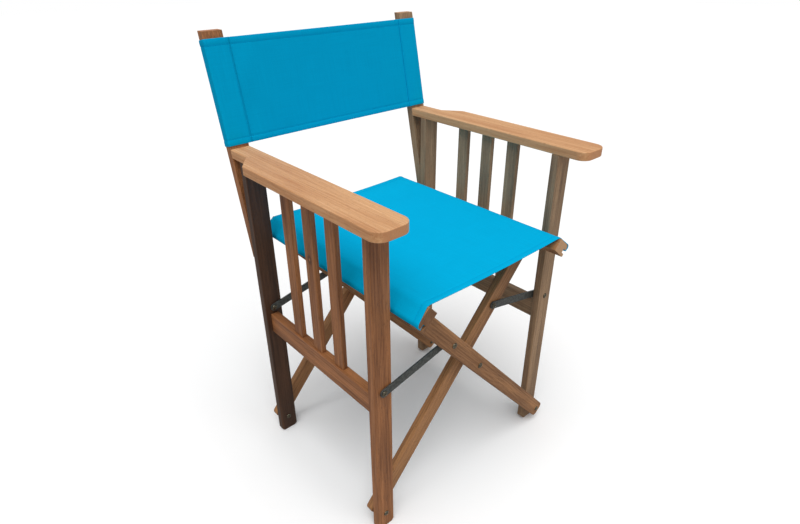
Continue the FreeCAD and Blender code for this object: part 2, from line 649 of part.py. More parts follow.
def ribbon(points, thick):
    """A strip of even thickness along a line of points in the XZ plane, with mitred corners."""
    sides = ([], [])
    for index, point in enumerate(points):
        ways = []
        if index > 0:
            ways.append((point - points[index - 1]).normalize())
        if index < len(points) - 1:
            ways.append((points[index + 1] - point).normalize())
        normals = [Vector(-way.z, 0, way.x) for way in ways]
        middle = sum(normals, Vector(0, 0, 0)).normalize()
        reach = thick / 2 / middle.dot(normals[0])
        sides[0].append(point + middle * reach)
        sides[1].append(point - middle * reach)
    outline = sides[0] + sides[1][::-1]
    return Part.Face(Part.makePolygon(outline + outline[:1]))


def seat_canvas():
    """The seat: over both seat rails, round their outer corners and into their grooves."""
    gap = size("Sizes.canvas_play + Sizes.canvas_thick / 2")
    top = size("Sizes.bar_upper + Sizes.seat_rail_thick") + gap
    outer = size("Sizes.seat_rail_wide - Sizes.seat_rail_inner") + gap
    bend = size("Sizes.seat_rail_round") + gap
    mouth = size("Sizes.bar_upper + Sizes.seat_rail_thick - Sizes.groove_down") - gap
    floor = size("Sizes.seat_rail_wide - Sizes.seat_rail_inner - Sizes.groove_deep") + gap
    inner = -size("Sizes.seat_rail_inner")
    corner = [(top - bend + bend * math.cos(turn), outer - bend + bend * math.sin(turn))
              for turn in (math.radians(step * 22.5) for step in range(5))]
    half = [(mouth, floor), (mouth, outer)] + corner[::-1] + [(top, inner)]
    halves = []
    for side in (LEFT, RIGHT):
        origin, along, outward = rail_frame(side)
        halves.append([origin + along * u + outward * v for u, v in half])
    face = ribbon(halves[0] + halves[1][::-1], size("Sizes.canvas_thick"))
    length = size("Sizes.seat_rail_long - 2 * Sizes.seat_canvas_inset")
    item = doc.addObject("Part::Feature", "seat_canvas")
    item.Shape = face.extrude(Vector(0, length, 0))
    put(item, y="Places.front_y - Sizes.seat_rail_front + Sizes.seat_canvas_inset")
    return keep(item, "seat_canvas")


def canvas_block(name, x_from, x_to, y_from, y_to):
    """A block of the back canvas's height, leaning with the uprights; y is measured from their front."""
    item = doc.addObject("Part::Box", name)
    item.setExpression("Length", f"{x_to} - {x_from}")
    item.setExpression("Width", f"{y_to} - {y_from}")
    item.setExpression("Height", "Sizes.back_canvas_tall")
    level = "(Sizes.arm_top + Sizes.back_canvas_above_arm)"
    put(item, x=x_from, y=f"Places.front_y + {upright_front(level)} + {y_from} * cos(Sizes.upright_lean)",
        z=f"{level} - {y_from} * sin(Sizes.upright_lean)", axis=ALONG_X, turn="-Sizes.upright_lean")
    return item


def back_canvas():
    """The back: one panel in front of the uprights, with a sleeve round each of them."""
    play, thick = "Sizes.canvas_play", "Sizes.canvas_thick"
    edge = f"(Places.side_x + Sizes.post_wide / 2 + {play} + {thick})"
    front, rear = f"(-({play} + {thick}))", f"(Sizes.upright_thick + {play} + {thick})"
    blank = canvas_block("back_canvas_blank", f"(-{edge})", edge, front, rear)
    inner = f"(Places.side_x - Sizes.post_wide / 2 - {play})"
    outer = f"(Places.side_x + Sizes.post_wide / 2 + {play})"
    sleeve = ("(-Sizes.canvas_play)", "(Sizes.upright_thick + Sizes.canvas_play)")
    hollow_left = canvas_block("back_canvas_left_sleeve", f"(-{outer})", f"(-{inner})", *sleeve)
    hollow_right = canvas_block("back_canvas_right_sleeve", inner, outer, *sleeve)
    seam = f"({inner} - {thick})"
    past_rear = f"({rear} + {thick})"
    middle = canvas_block("back_canvas_open_back", f"(-{seam})", seam, "(-Sizes.canvas_play)", past_rear)
    hollows = joined("Part::Compound", "back_canvas_hollows", [hollow_left, hollow_right, middle])
    item = cut_out("back_canvas", blank, hollows)
    return keep(item, "back_canvas")


# ---------------------------------------------------------------------------------------------------------
# Links
# ---------------------------------------------------------------------------------------------------------

def link_set(side):
    """Front face of a link, from the front post's front face: before it on the left, behind it on the right."""
    washer = "(Sizes.link_gap - Sizes.link_thick) / 2"
    if side == LEFT:
        return f"(-{washer} - Sizes.link_thick)"
    return f"(Sizes.post_deep + {washer})"


def links(side):
    """Two flat steel links, front and rear, from the posts to the bars."""
    for name, setback in (("front", "0"), ("rear", "Sizes.rear_offset")):
        piece = Piece(f"{name_of(side)}_{name}_link")
        low, high = centred("Sizes.link_wide")
        plate = rectangle("-Sizes.link_wide / 2", f"Places.link_long + Sizes.link_wide / 2", low, high)
        piece.pad("XZ", plate, "Sizes.link_thick", back=True)
        through = Vector(0, 1, 0)
        piece.round("Sizes.link_wide * Sizes.link_round", lambda e: runs_along(e, through))
        holes = [("0", "0", "Places.hole_r"), ("Places.link_long", "0", "Places.hole_r")]
        piece.cut("XZ", "0", holes=holes)
        turn = "-Places.link_angle" if side == LEFT else "Places.link_angle - 180"
        piece.put(x=f"{side} * Places.side_x", y=f"Places.front_y + {setback} + {link_set(side)}",
                  z="Sizes.link_height", turn=turn)
        keep(piece)


def link_studs(side):
    """The studs at the links' outer ends, which reach to the face of a bar."""
    x = f"{side} * (Places.side_x - Places.link_run)"
    z = f"Sizes.link_height + Places.link_rise"
    washer = "(Sizes.link_gap - Sizes.link_thick) / 2"
    grip = f"Sizes.link_thick + {washer} - Sizes.face_play"

    def make(name, base):
        if side == LEFT:
            return bolt(name, x, f"{base} - {washer}", z, grip, head_at_front=False)
        return bolt(name, x, f"{base} + {link_set(RIGHT)}", z, grip)

    return keep(front_and_rear(f"{name_of(side)}_link_studs", make))


# ---------------------------------------------------------------------------------------------------------
# Pivot fasteners
# ---------------------------------------------------------------------------------------------------------

def foot_pivot(side):
    """Bolt, spacer and nut at the foot pivots of one side."""
    x = f"{side} * Places.side_x"
    z = "Sizes.pivot_height"
    label = name_of(side) + "_foot"
    if side == LEFT:
        head, nut_y, space = "0", f"{BAR_B_SET} + Sizes.bar_thick + Sizes.face_play", "Sizes.post_deep"
    else:
        head, nut_y = f"{BAR_A_SET} - Sizes.face_play", "Sizes.post_deep"
        space = "(-Sizes.link_gap + Sizes.face_play)"
    end = f"({nut_y} + Sizes.nut_tall - ({head}) + Sizes.bolt_end)"
    keep(front_and_rear(label + "_pivot_bolts", lambda name, base: bolt(name, x, f"{base} + {head}", z, end)))
    keep(front_and_rear(label + "_pivot_nuts", lambda name, base: nut(name, x, f"{base} + {nut_y}", z)))
    keep(front_and_rear(label + "_spacers",
                        lambda name, base: ring(name, x, f"{base} + {space}", z, "Sizes.spacer_wide",
                                                "Sizes.link_gap - Sizes.face_play")))


def crossing_pivot():
    """Bolt, spacer and nut where the bars cross."""
    z = "Sizes.cross_height"
    head = f"{BAR_A_SET} - Sizes.face_play"
    nut_y = f"{BAR_B_SET} + Sizes.bar_thick"
    end = f"({nut_y} + Sizes.nut_tall - ({head}) + Sizes.bolt_end)"
    keep(front_and_rear("crossing_pivot_bolts", lambda name, base: bolt(name, "0", f"{base} + {head}", z, end)))
    keep(front_and_rear("crossing_pivot_nuts", lambda name, base: nut(name, "0", f"{base} + {nut_y}", z)))
    keep(front_and_rear("crossing_spacers",
                        lambda name, base: ring(name, "0", f"{base} - Sizes.link_gap + Sizes.face_play", z,
                                                "Sizes.spacer_wide",
                                                "Sizes.post_deep + 2 * Sizes.link_gap - Sizes.face_play")))


def link_post_pivot(side):
    """Bolt, washer and nut where a link turns on its post."""
    x = f"{side} * Places.side_x"
    z = "Sizes.link_height"
    washer = "(Sizes.link_gap - Sizes.link_thick) / 2"
    if side == LEFT:
        head, nut_y = f"{link_set(LEFT)} - Sizes.face_play", "Sizes.post_deep"
        gap = f"(-{washer} + Sizes.face_play)"
    else:
        head, gap = "0", "Sizes.post_deep"
        nut_y = f"{link_set(RIGHT)} + Sizes.link_thick + Sizes.face_play"
    end = f"({nut_y} + Sizes.nut_tall - ({head}) + Sizes.bolt_end)"
    label = name_of(side) + "_link"
    keep(front_and_rear(label + "_post_bolts", lambda name, base: bolt(name, x, f"{base} + {head}", z, end)))
    keep(front_and_rear(label + "_post_nuts", lambda name, base: nut(name, x, f"{base} + {nut_y}", z)))
    keep(front_and_rear(label + "_washers",
                        lambda name, base: ring(name, x, f"{base} + {gap}", z, "Sizes.washer_wide",
                                                f"{washer} - Sizes.face_play")))


def link_bar_bolts(side):
    """The bolts in the bars at the links' ends: each stops at the bar's face, clear of the link's stud."""
    x = f"{side} * Sizes.link_reach * cos(Places.bar_angle)"
    z = "Sizes.cross_height + Sizes.link_reach * sin(Places.bar_angle)"
    grip = "Sizes.bar_thick"

    def make(name, base):
        if side == LEFT:
            return bolt(name, x, f"{base} + {BAR_A_SET}", z, grip)
        return bolt(name, x, f"{base} + {BAR_B_SET} + Sizes.bar_thick", z, grip, head_at_front=False)

    return keep(front_and_rear(f"{name_of(side)}_bar_link_bolts", make))


# ---------------------------------------------------------------------------------------------------------
# The chair
# ---------------------------------------------------------------------------------------------------------

for which in (LEFT, RIGHT):
    post(which, rear=False)
    post(which, rear=True)
    lower_side_rail(which)
    slats(which)
    armrest(which)
    back_upright(which)
    upright_screws(which)
    foot_pivot(which)
    seat_rail(which)
    seat_rail_screws(which)
    hem_dowel(which)
    links(which)
    link_studs(which)
    link_post_pivot(which)
    link_bar_bolts(which)

crossing_bar("bar_a_front", LEFT, BAR_A_SET)
crossing_bar("bar_a_rear", LEFT, f"Sizes.rear_offset + {BAR_A_SET}")
crossing_bar("bar_b_front", RIGHT, BAR_B_SET)
crossing_bar("bar_b_rear", RIGHT, f"Sizes.rear_offset + {BAR_B_SET}")
crossing_pivot()
seat_canvas()
back_canvas()

doc.recompute()

for item in doc.Objects:
    if "Invalid" in item.State or "Error" in item.State:
        raise RuntimeError(f"{item.Label}: {item.State}")

os.makedirs("parts", exist_ok=True)
for item in nodes:
    if item.Shape.isNull() or not item.Shape.isValid() or not item.Shape.Solids:
        raise RuntimeError(f"{item.Label}: the shape is not a valid solid")
    item.Shape.exportStep(f"parts/{item.Label}.step")
    box = item.Shape.BoundBox
    print(f"{item.Label:28s} solids {len(item.Shape.Solids)}  volume {item.Shape.Volume:10.0f}  "
          f"x {box.XMin:7.1f} {box.XMax:7.1f}  y {box.YMin:7.1f} {box.YMax:7.1f}  "
          f"z {box.ZMin:7.1f} {box.ZMax:7.1f}")
print(len(nodes), "nodes")
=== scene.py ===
"""Folding armchair: dresses the wooden frame, and makes the canvas seat and back, their stitching and the fasteners.

Lengths are in metres, in the frame that the CAD model uses: +Z up, the sitter faces -Y, +X to the right as
seen from the front.
"""
import json
import logging
import math
from dataclasses import dataclass, field, replace
from enum import Enum
from typing import Iterable, Sequence

import bmesh
import bpy
from mathutils import Matrix, Vector


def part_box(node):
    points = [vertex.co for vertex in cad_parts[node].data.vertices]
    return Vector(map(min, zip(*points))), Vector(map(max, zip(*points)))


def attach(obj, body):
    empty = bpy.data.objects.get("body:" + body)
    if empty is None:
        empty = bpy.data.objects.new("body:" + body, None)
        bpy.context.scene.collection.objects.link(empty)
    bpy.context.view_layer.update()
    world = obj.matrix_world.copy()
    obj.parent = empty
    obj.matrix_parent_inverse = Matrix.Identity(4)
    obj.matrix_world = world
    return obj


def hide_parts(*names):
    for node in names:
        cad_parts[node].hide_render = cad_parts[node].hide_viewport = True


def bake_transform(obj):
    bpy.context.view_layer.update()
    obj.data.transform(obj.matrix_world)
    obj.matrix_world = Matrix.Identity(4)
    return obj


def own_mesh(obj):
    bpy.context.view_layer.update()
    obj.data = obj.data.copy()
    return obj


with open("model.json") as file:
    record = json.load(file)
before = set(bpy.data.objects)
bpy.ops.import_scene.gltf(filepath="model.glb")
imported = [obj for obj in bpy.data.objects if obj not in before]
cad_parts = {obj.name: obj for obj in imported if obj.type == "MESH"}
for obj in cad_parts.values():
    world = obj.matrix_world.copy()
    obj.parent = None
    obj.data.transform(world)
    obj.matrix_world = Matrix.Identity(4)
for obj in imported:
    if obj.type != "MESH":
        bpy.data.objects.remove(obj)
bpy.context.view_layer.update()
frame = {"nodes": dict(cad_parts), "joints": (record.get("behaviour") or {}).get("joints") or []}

LOG = logging.getLogger("chair")
UPRIGHT_THICK = 0.016
UPRIGHT_TOE = 0.002
CANVAS_ABOVE_ARM = 0.005
WELD = 1e-6
SHARP_ANGLE = math.radians(40)
STITCH_PROUD = 0.0001

FIGURE_STRETCH = (4.0, 55.0, 55.0)
BEND_STRETCH = (4.5, 16.0, 16.0)
FIBRE_STRETCH = (9.0, 420.0, 420.0)
PORE_STRETCH = (90.0, 2100.0, 2100.0)
LINE_WANDER = 0.035
SLUB_FINE = 900.0
SLUB_LONG = 14.0

HEM_ROLL = 0.00045
SEAM_DEEP = 0.00035
SEAM_WIDE = 0.0009
EDGE_TICKS = (0.0, 0.0006, 0.0016, 0.0035)
SEAM_TICKS = (-0.0022, -0.0012, -0.0005, 0.0, 0.0005, 0.0012, 0.0024, 0.005)

EYE_X = -0.6561
EYE_AHEAD = 0.5352
EYE_HEIGHT = 0.9539
EYE_WAY = (0.57304, 0.65239, -0.49600)


class Side(Enum):
    """The two sides of the chair, as seen from the front."""

    LEFT = -1
    RIGHT = 1

    @property
    def word(self) -> str:
        """The side's name as node names spell it."""
        return self.name.lower()


class Grain(Enum):
    """Which way a wooden piece's grain runs."""

    UP = "up"
    DEEP = "deep"
    BAR_A = "bar_a"
    BAR_B = "bar_b"


# ----- Where things are -----


@dataclass(frozen=True)
class Layout:
    """Places and angles read from the CAD frame.

    Args:
        side_x: middle of the posts, left to right.
        front_y: front face of the front posts.
        rear_y: front face of the rear posts.
        foot_pivot: height of the foot pivots.
        cross: height of the crossing pivot.
        bar_angle: angle of a crossing bar from the floor.
        lean: angle of the back uprights from vertical.
        back_face: front face of the uprights at the back canvas's lower edge.
        back_level: height of the back canvas's lower edge.
    """

    side_x: float
    front_y: float
    rear_y: float
    foot_pivot: float
    cross: float
    bar_angle: float
    lean: float
    back_face: float
    back_level: float

    @classmethod
    def read(cls) -> "Layout":
        """Read the places from the loaded frame.

        Returns:
            The chair's layout.
        """
        joints = {joint["name"]: joint for joint in frame["joints"]}
        foot = joints["fold"]["pos_m"]
        cross = joints["bars_crossing"]["pos_m"]
        low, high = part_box("left_back_upright")
        post_low, post_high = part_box("left_rear_post")
        lean = math.atan2(high[1] - post_high[1] - UPRIGHT_TOE, high[2] - low[2])
        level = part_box("left_armrest")[1][2] + CANVAS_ABOVE_ARM
        face = high[1] - (high[2] - level) * math.tan(lean) - UPRIGHT_THICK / math.cos(lean)
        return cls(
            side_x=-foot[0],
            front_y=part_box("left_front_post")[0][1],
            rear_y=post_low[1],
            foot_pivot=foot[2],
            cross=cross[2],
            bar_angle=math.atan2(cross[2] - foot[2], -foot[0]),
            lean=lean,
            back_face=face,
            back_level=level,
        )

    def bar_frame(self, side: Side) -> tuple[Vector, Vector, Vector]:
        """The crossing point, the way up a bar towards one side, and the way out across it.

        Args:
            side: the side that the bar's top is on.

        Returns:
            Origin, way along the bar and way outwards, in the plane Y = 0.
        """
        cos, sin = math.cos(self.bar_angle), math.sin(self.bar_angle)
        turn = side.value
        return Vector((0, 0, self.cross)), Vector((turn * cos, 0, sin)), Vector((turn * sin, 0, -cos))


# ----- Node helpers -----


class Nodes:
    """Short ways to add and join nodes of one tree.

    Args:
        tree: the node tree that the nodes go in.
    """

    def __init__(self, tree: bpy.types.NodeTree) -> None:
        self.tree = tree

    def add(self, kind: str, settings: dict | None = None, **inputs: object) -> bpy.types.Node:
        """Add a node, set its properties, and set or join its inputs.

        Args:
            kind: the node's type.
            settings: properties by name.
            inputs: values or output sockets by input name, with _ for a space.

        Returns:
            The new node.
        """
        node = self.tree.nodes.new(kind)
        for name, value in (settings or {}).items():
            setattr(node, name, value)
        for name, value in inputs.items():
            self.give(node, name.replace("_", " "), value)
        return node

    def give(self, node: bpy.types.Node, name: str | int, value: object) -> None:
        """Set an input's value, or join an output socket to it.

        Args:
            node: the node that takes it.
            name: the input's name or number.
            value: a plain value or an output socket.
        """
        socket = node.inputs[name]
        if isinstance(value, bpy.types.NodeSocket):
            self.tree.links.new(value, socket)
        else:
            socket.default_value = value

    def math(self, operation: str, *values: object) -> bpy.types.NodeSocket:
        """A Math node.

        Args:
            operation: what it does.
            values: its inputs, in order.

        Returns:
            Its output socket.
        """
        node = self.tree.nodes.new("ShaderNodeMath")
        node.operation = operation
        for index, value in enumerate(values):
            self.give(node, index, value)
        return node.outputs[0]

    def span(self, value: object, low: float, high: float, out_low: float = 0.0,
             out_high: float = 1.0) -> bpy.types.NodeSocket:
        """Map a range of values smoothly to another.

        Args:
            value: the value or socket to map.
            low: value that gives out_low.
            high: value that gives out_high.
            out_low: result at low.
            out_high: result at high.

        Returns:
            The mapped value's socket.
        """
        node = self.tree.nodes.new("ShaderNodeMapRange")
        node.interpolation_type = "SMOOTHSTEP"
        for name, number in (("Value", value), ("From Min", low), ("From Max", high), ("To Min", out_low),
                             ("To Max", out_high)):
            self.give(node, name, number)
        return node.outputs["Result"]

    def mix(self, share: object, first: object, second: object) -> bpy.types.NodeSocket:
        """Mix two colours.

        Args:
            share: how much of the second.
            first: colour or socket.
            second: colour or socket.

        Returns:
            The mixed colour's socket.
        """
        node = self.tree.nodes.new("ShaderNodeMix")
        node.data_type = "RGBA"
        self.give(node, 0, share)
        self.give(node, 6, first)
        self.give(node, 7, second)
        return node.outputs[2]

    def noise(self, vector: object, scale: float, detail: float = 3.0, roughness: float = 0.5,
              distortion: float = 0.0) -> bpy.types.NodeSocket:
        """A noise texture's value.

        Args:
            vector: coordinates.
            scale: features in a unit.
            detail: octaves.
            roughness: strength of the finer octaves.
            distortion: how much the noise bends itself.

        Returns:
            The noise value's socket.
        """
        node = self.add("ShaderNodeTexNoise", Vector=vector, Scale=scale, Detail=detail, Roughness=roughness,
                        Distortion=distortion)
        return node.outputs["Fac"]

    def stretched(self, vector: object, scale: Sequence[float]) -> bpy.types.NodeSocket:
        """Coordinates scaled by an amount for each axis.

        Args:
            vector: coordinates.
            scale: three factors.

        Returns:
            The scaled coordinates' socket.
        """
        return self.vector_math("MULTIPLY", vector, scale).outputs[0]

    def vector_math(self, operation: str, *values: object) -> bpy.types.Node:
        """A Vector Math node.

        Args:
            operation: what it does.
            values: its inputs, in order.

        Returns:
            The node.
        """
        node = self.add("ShaderNodeVectorMath", {"operation": operation})
        for index, value in enumerate(values):
            self.give(node, index, value)
        return node

    def bump(self, shader: bpy.types.Node, height: object, strength: float, distance: float) -> None:
        """Give a shader a bumped normal."""
        node = self.add("ShaderNodeBump", Height=height, Strength=strength, Distance=distance)
        self.give(shader, "Normal", node.outputs[0])


def new_tree(kind: str, name: str, inputs: dict[str, tuple[str, object]], outputs: dict[str, str]) \
        -> tuple[bpy.types.NodeTree, Nodes, bpy.types.Node, bpy.types.Node]:
    """Start a node group.

    Args:
        kind: Shader or Geometry.
        name: the group's name.
        inputs: socket kind and value by input name.
        outputs: socket kind by output name.

    Returns:
        The tree, its helper, its input node and its output node.
    """
    tree = bpy.data.node_groups.new(name, kind + "NodeTree")
    for label, (socket_kind, value) in inputs.items():
        socket = tree.interface.new_socket(label, in_out="INPUT", socket_type="NodeSocket" + socket_kind)
        if value is not None:
            socket.default_value = value
    for label, socket_kind in outputs.items():
        tree.interface.new_socket(label, in_out="OUTPUT", socket_type="NodeSocket" + socket_kind)
    return tree, Nodes(tree), tree.nodes.new("NodeGroupInput"), tree.nodes.new("NodeGroupOutput")


def new_material(name: str) -> tuple[bpy.types.Material, Nodes, bpy.types.Node]:
    """Start a material.

    Args:
        name: the material's name.

    Returns:
        The material, its node helper and its Principled shader.
    """
    material = bpy.data.materials.new(name)
    material.use_nodes = True
    return material, Nodes(material.node_tree), material.node_tree.nodes["Principled BSDF"]


def new_object(name: str, data: object) -> bpy.types.Object:
    """Make an object and put it in the scene."""
    made = bpy.data.objects.new(name, data)
    bpy.context.scene.collection.objects.link(made)
    return made


def grain_group() -> bpy.types.NodeTree:
    """Wood grain along the vector's X: broad figure, growth lines, fine fibres and dark pores.

    Returns:
        The group. Its outputs are Figure, Lines, Pores and Height, each from 0 to 1.
    """
    tree, make, source, sink = new_tree(
        "Shader", "Wood grain",
        {"Vector": ("Vector", None), "Line Spacing": ("Float", 0.004), "Seed": ("Float", 0.0)},
        {"Figure": "Float", "Lines": "Float", "Pores": "Float", "Height": "Float"},
    )
    offset = make.add("ShaderNodeCombineXYZ", X=source.outputs["Seed"], Y=source.outputs["Seed"])
    vector = make.vector_math("ADD", source.outputs["Vector"], offset.outputs[0]).outputs[0]
    figure = make.noise(make.stretched(vector, FIGURE_STRETCH), 1.0, 3.0, 0.55, 0.3)
    bend = make.noise(make.stretched(vector, BEND_STRETCH), 1.0, 2.0, 0.4)
    split = make.add("ShaderNodeSeparateXYZ", Vector=vector)
    across = make.math("ADD", split.outputs["Y"], make.math("MULTIPLY", split.outputs["Z"], 0.72))
    wander = make.math("MULTIPLY", bend, LINE_WANDER)
    phase = make.math("DIVIDE", make.math("ADD", across, wander), source.outputs["Line Spacing"])
    wave = make.math("SINE", make.math("MULTIPLY", phase, 2 * math.pi))
    rough = make.noise(make.stretched(vector, FIBRE_STRETCH), 1.0, 5.0, 0.62)
    lines = make.math("ADD", make.math("MULTIPLY", wave, 0.13), make.span(rough, 0.30, 0.72, 0.10, 0.95))
    pore_noise = make.noise(make.stretched(vector, PORE_STRETCH), 1.0, 2.0, 0.5)
    pores = make.span(pore_noise, 0.60, 0.70)
    height = make.math("SUBTRACT", make.math("MULTIPLY", lines, 0.5), make.math("MULTIPLY", pores, 0.6))
    for name, value in (("Figure", make.span(figure, 0.28, 0.72)), ("Lines", lines), ("Pores", pores),
                        ("Height", height)):
        make.give(sink, name, value)
    return tree


def wear_group() -> bpy.types.NodeTree:
    """Edge wear: a mask that is 1 on the rounded edges of a piece, broken up by noise.

    Returns:
        The group. Its output is Mask.
    """
    tree, make, source, sink = new_tree(
        "Shader", "Edge wear", {"Radius": ("Float", 0.0022), "Patchiness": ("Float", 70.0)}, {"Mask": "Float"}
    )
    bevel = make.add("ShaderNodeBevel", {"samples": 4}, Radius=source.outputs["Radius"])
    plain = make.add("ShaderNodeNewGeometry")
    dot = make.vector_math("DOT_PRODUCT", bevel.outputs[0], plain.outputs["Normal"])
    edge = make.span(make.math("SUBTRACT", 1.0, dot.outputs["Value"]), 0.01, 0.16)
    coordinates = make.add("ShaderNodeTexCoord")
    patches = make.noise(coordinates.outputs["Object"], source.outputs["Patchiness"], 3.0, 0.6)
    make.give(sink, "Mask", make.math("MULTIPLY", edge, make.span(patches, 0.3, 0.7, 0.25, 1.0)))
    return tree


def weave_group() -> bpy.types.NodeTree:
    """Plain canvas weave on a vector in metres: thread height, thread tone and soft mottling.

    Returns:
        The group. Its outputs are Height, Tone and Mottle.
    """
    tree, make, source, sink = new_tree(
        "Shader", "Canvas weave",
        {"Vector": ("Vector", None), "Thread": ("Float", 0.0009)},
        {"Height": "Float", "Tone": "Float", "Mottle": "Float"},
    )
    split = make.add("ShaderNodeSeparateXYZ", Vector=source.outputs["Vector"])
    phases = [make.math("DIVIDE", split.outputs[axis], source.outputs["Thread"]) for axis in ("X", "Y")]
    humps = [make.math("ABSOLUTE", make.math("SINE", make.math("MULTIPLY", phase, math.pi))) for phase in phases]
    cells = [make.math("FLOOR", phase) for phase in phases]
    turn = make.math("MODULO", make.math("ABSOLUTE", make.math("ADD", cells[0], cells[1])), 2.0)
    over = make.math("MULTIPLY", humps[0], turn)
    under = make.math("MULTIPLY", humps[1], make.math("SUBTRACT", 1.0, turn))
    height = make.math("ADD", over, under)
    slub_warp = make.noise(make.stretched(source.outputs["Vector"], (SLUB_FINE, SLUB_LONG, 1.0)), 1.0, 2.0, 0.5)
    slub_weft = make.noise(make.stretched(source.outputs["Vector"], (SLUB_LONG, SLUB_FINE, 1.0)), 1.0, 2.0, 0.5)
    slubs = make.math("MULTIPLY", make.math("ADD", slub_warp, slub_weft), 0.5)
    tone = make.math("ADD", make.span(slubs, 0.30, 0.70, 0.50, 0.85), make.math("MULTIPLY", height, 0.15))
    mottle = make.noise(source.outputs["Vector"], 16.0, 3.0, 0.55)
    for name, value in (("Height", height), ("Tone", tone), ("Mottle", make.span(mottle, 0.3, 0.7))):
        make.give(sink, name, value)
    return tree


# ----- Finishes -----

Colour = tuple[float, float, float, float]


def colour(red: float, green: float, blue: float) -> Colour:
    """A display colour, 0 to 255 a channel, as the linear colour that shaders take."""
    def linear(value: float) -> float:
        share = value / 255
        return share / 12.92 if share <= 0.04045 else ((share + 0.055) / 1.055) ** 2.4

    return linear(red), linear(green), linear(blue), 1.0


@dataclass(frozen=True)
class Wood:
    """An oiled wood finish.

    Args:
        name: the material's name.
        light: colour of the pale figure.
        dark: colour of the dark figure.
        pore: colour of the pores.
        worn: colour of the worn edges.
        end: colour of the end grain.
        spacing: distance between growth lines.
        seed: shifts the figure.
        roughness: middle roughness.
        knot: middle of a knot, if the wood has one.
    """

    name: str
    light: Colour
    dark: Colour
    pore: Colour
    worn: Colour
    end: Colour
    spacing: float = 0.0045
    seed: float = 0.0
    roughness: float = 0.52
    knot: tuple[float, float, float] | None = None

    def build(self, grain: Grain, angle: float, groups: dict[str, bpy.types.NodeTree]) -> bpy.types.Material:
        """Make the material for one direction of grain.

        Args:
            grain: which way the grain runs.
            angle: angle of the crossing bars from the floor.
            groups: the shared node groups by name.

        Returns:
            The material.
        """
        material, make, shader = new_material(f"{self.name}_{grain.value}")
        coordinates = make.add("ShaderNodeTexCoord")
        turn = {Grain.UP: (0.0, math.pi / 2, 0.0), Grain.DEEP: (0.0, 0.0, -math.pi / 2),
                Grain.BAR_A: (0.0, -angle, 0.0), Grain.BAR_B: (0.0, angle, 0.0)}[grain]
        mapping = make.add("ShaderNodeMapping", Vector=coordinates.outputs["Object"], Rotation=turn)
        wood = make.add("ShaderNodeGroup", {"node_tree": groups["grain"]}, Vector=mapping.outputs[0],
                        Line_Spacing=self.spacing, Seed=self.seed)
        wear = make.add("ShaderNodeGroup", {"node_tree": groups["wear"]})
        figure = make.math("ADD", make.math("MULTIPLY", wood.outputs["Figure"], 0.55),
                           make.math("MULTIPLY", wood.outputs["Lines"], 0.45))
        body = make.mix(figure, self.dark, self.light)
        pored = make.mix(make.math("MULTIPLY", wood.outputs["Pores"], 0.7), body, self.pore)
        facing = make.add("ShaderNodeMapping", {"vector_type": "NORMAL"}, Vector=coordinates.outputs["Normal"],
                          Rotation=turn)
        along = make.add("ShaderNodeSeparateXYZ", Vector=facing.outputs[0])
        ended = make.span(make.math("ABSOLUTE", along.outputs["X"]), 0.80, 0.97, 0.0, 0.75)
        cut = make.mix(ended, pored, self.end)
        worn = make.mix(make.math("MULTIPLY", wear.outputs["Mask"], 0.45), cut, self.worn)
        make.give(shader, "Base Color", self.knotted(make, coordinates, worn))
        make.give(shader, "Roughness", make.span(wood.outputs["Lines"], 0.0, 1.0, self.roughness + 0.08,
                                                 self.roughness - 0.08))
        make.bump(shader, wood.outputs["Height"], 0.35, 0.0004)
        shader.inputs["Specular IOR Level"].default_value = 0.4
        return material

    def knotted(self, make: Nodes, coordinates: bpy.types.Node, body: bpy.types.NodeSocket) \
            -> bpy.types.NodeSocket:
        """Add the knot, if this wood has one.

        Args:
            make: the material's node helper.
            coordinates: its texture coordinates.
            body: the wood's colour.

        Returns:
            The colour with the knot on it.
        """
        if self.knot is None:
            return body
        away = make.vector_math("SUBTRACT", coordinates.outputs["Object"], self.knot)
        length = make.vector_math("LENGTH", make.stretched(away.outputs[0], (0.0, 1.0, 0.75)))
        edge = make.math("ADD", length.outputs["Value"],
                         make.math("MULTIPLY", make.noise(coordinates.outputs["Object"], 420.0), 0.0025))
        halo = make.mix(make.span(edge, 0.0045, 0.0105, 0.65, 0.0), body, self.pore)
        return make.mix(make.span(edge, 0.0020, 0.0042, 0.75, 0.0), halo, self.light)


@dataclass(frozen=True)
class Canvas:
    """A dyed canvas finish.

    Args:
        name: the material's name.
        base: the dye's colour.
        deep: its colour between the threads.
        thread: thread spacing.
    """

    name: str
    base: Colour
    deep: Colour
    thread: float = 0.0009

    def build(self, groups: dict[str, bpy.types.NodeTree]) -> bpy.types.Material:
        """Make the material; it reads the piece's own UV map, which is in metres.

        Args:
            groups: the shared node groups by name.

        Returns:
            The material.
        """
        material, make, shader = new_material(self.name)
        coordinates = make.add("ShaderNodeTexCoord")
        weave = make.add("ShaderNodeGroup", {"node_tree": groups["weave"]}, Vector=coordinates.outputs["UV"],
                         Thread=self.thread)
        toned = make.mix(weave.outputs["Tone"], self.deep, self.base)
        faded = make.mix(make.math("MULTIPLY", weave.outputs["Mottle"], 0.10), toned, self.deep)
        make.give(shader, "Base Color", faded)
        make.give(shader, "Roughness", make.span(weave.outputs["Tone"], 0.0, 1.0, 0.95, 0.85))
        make.bump(shader, weave.outputs["Height"], 0.25, 0.0002)
        shader.inputs["Specular IOR Level"].default_value = 0.03
        return material


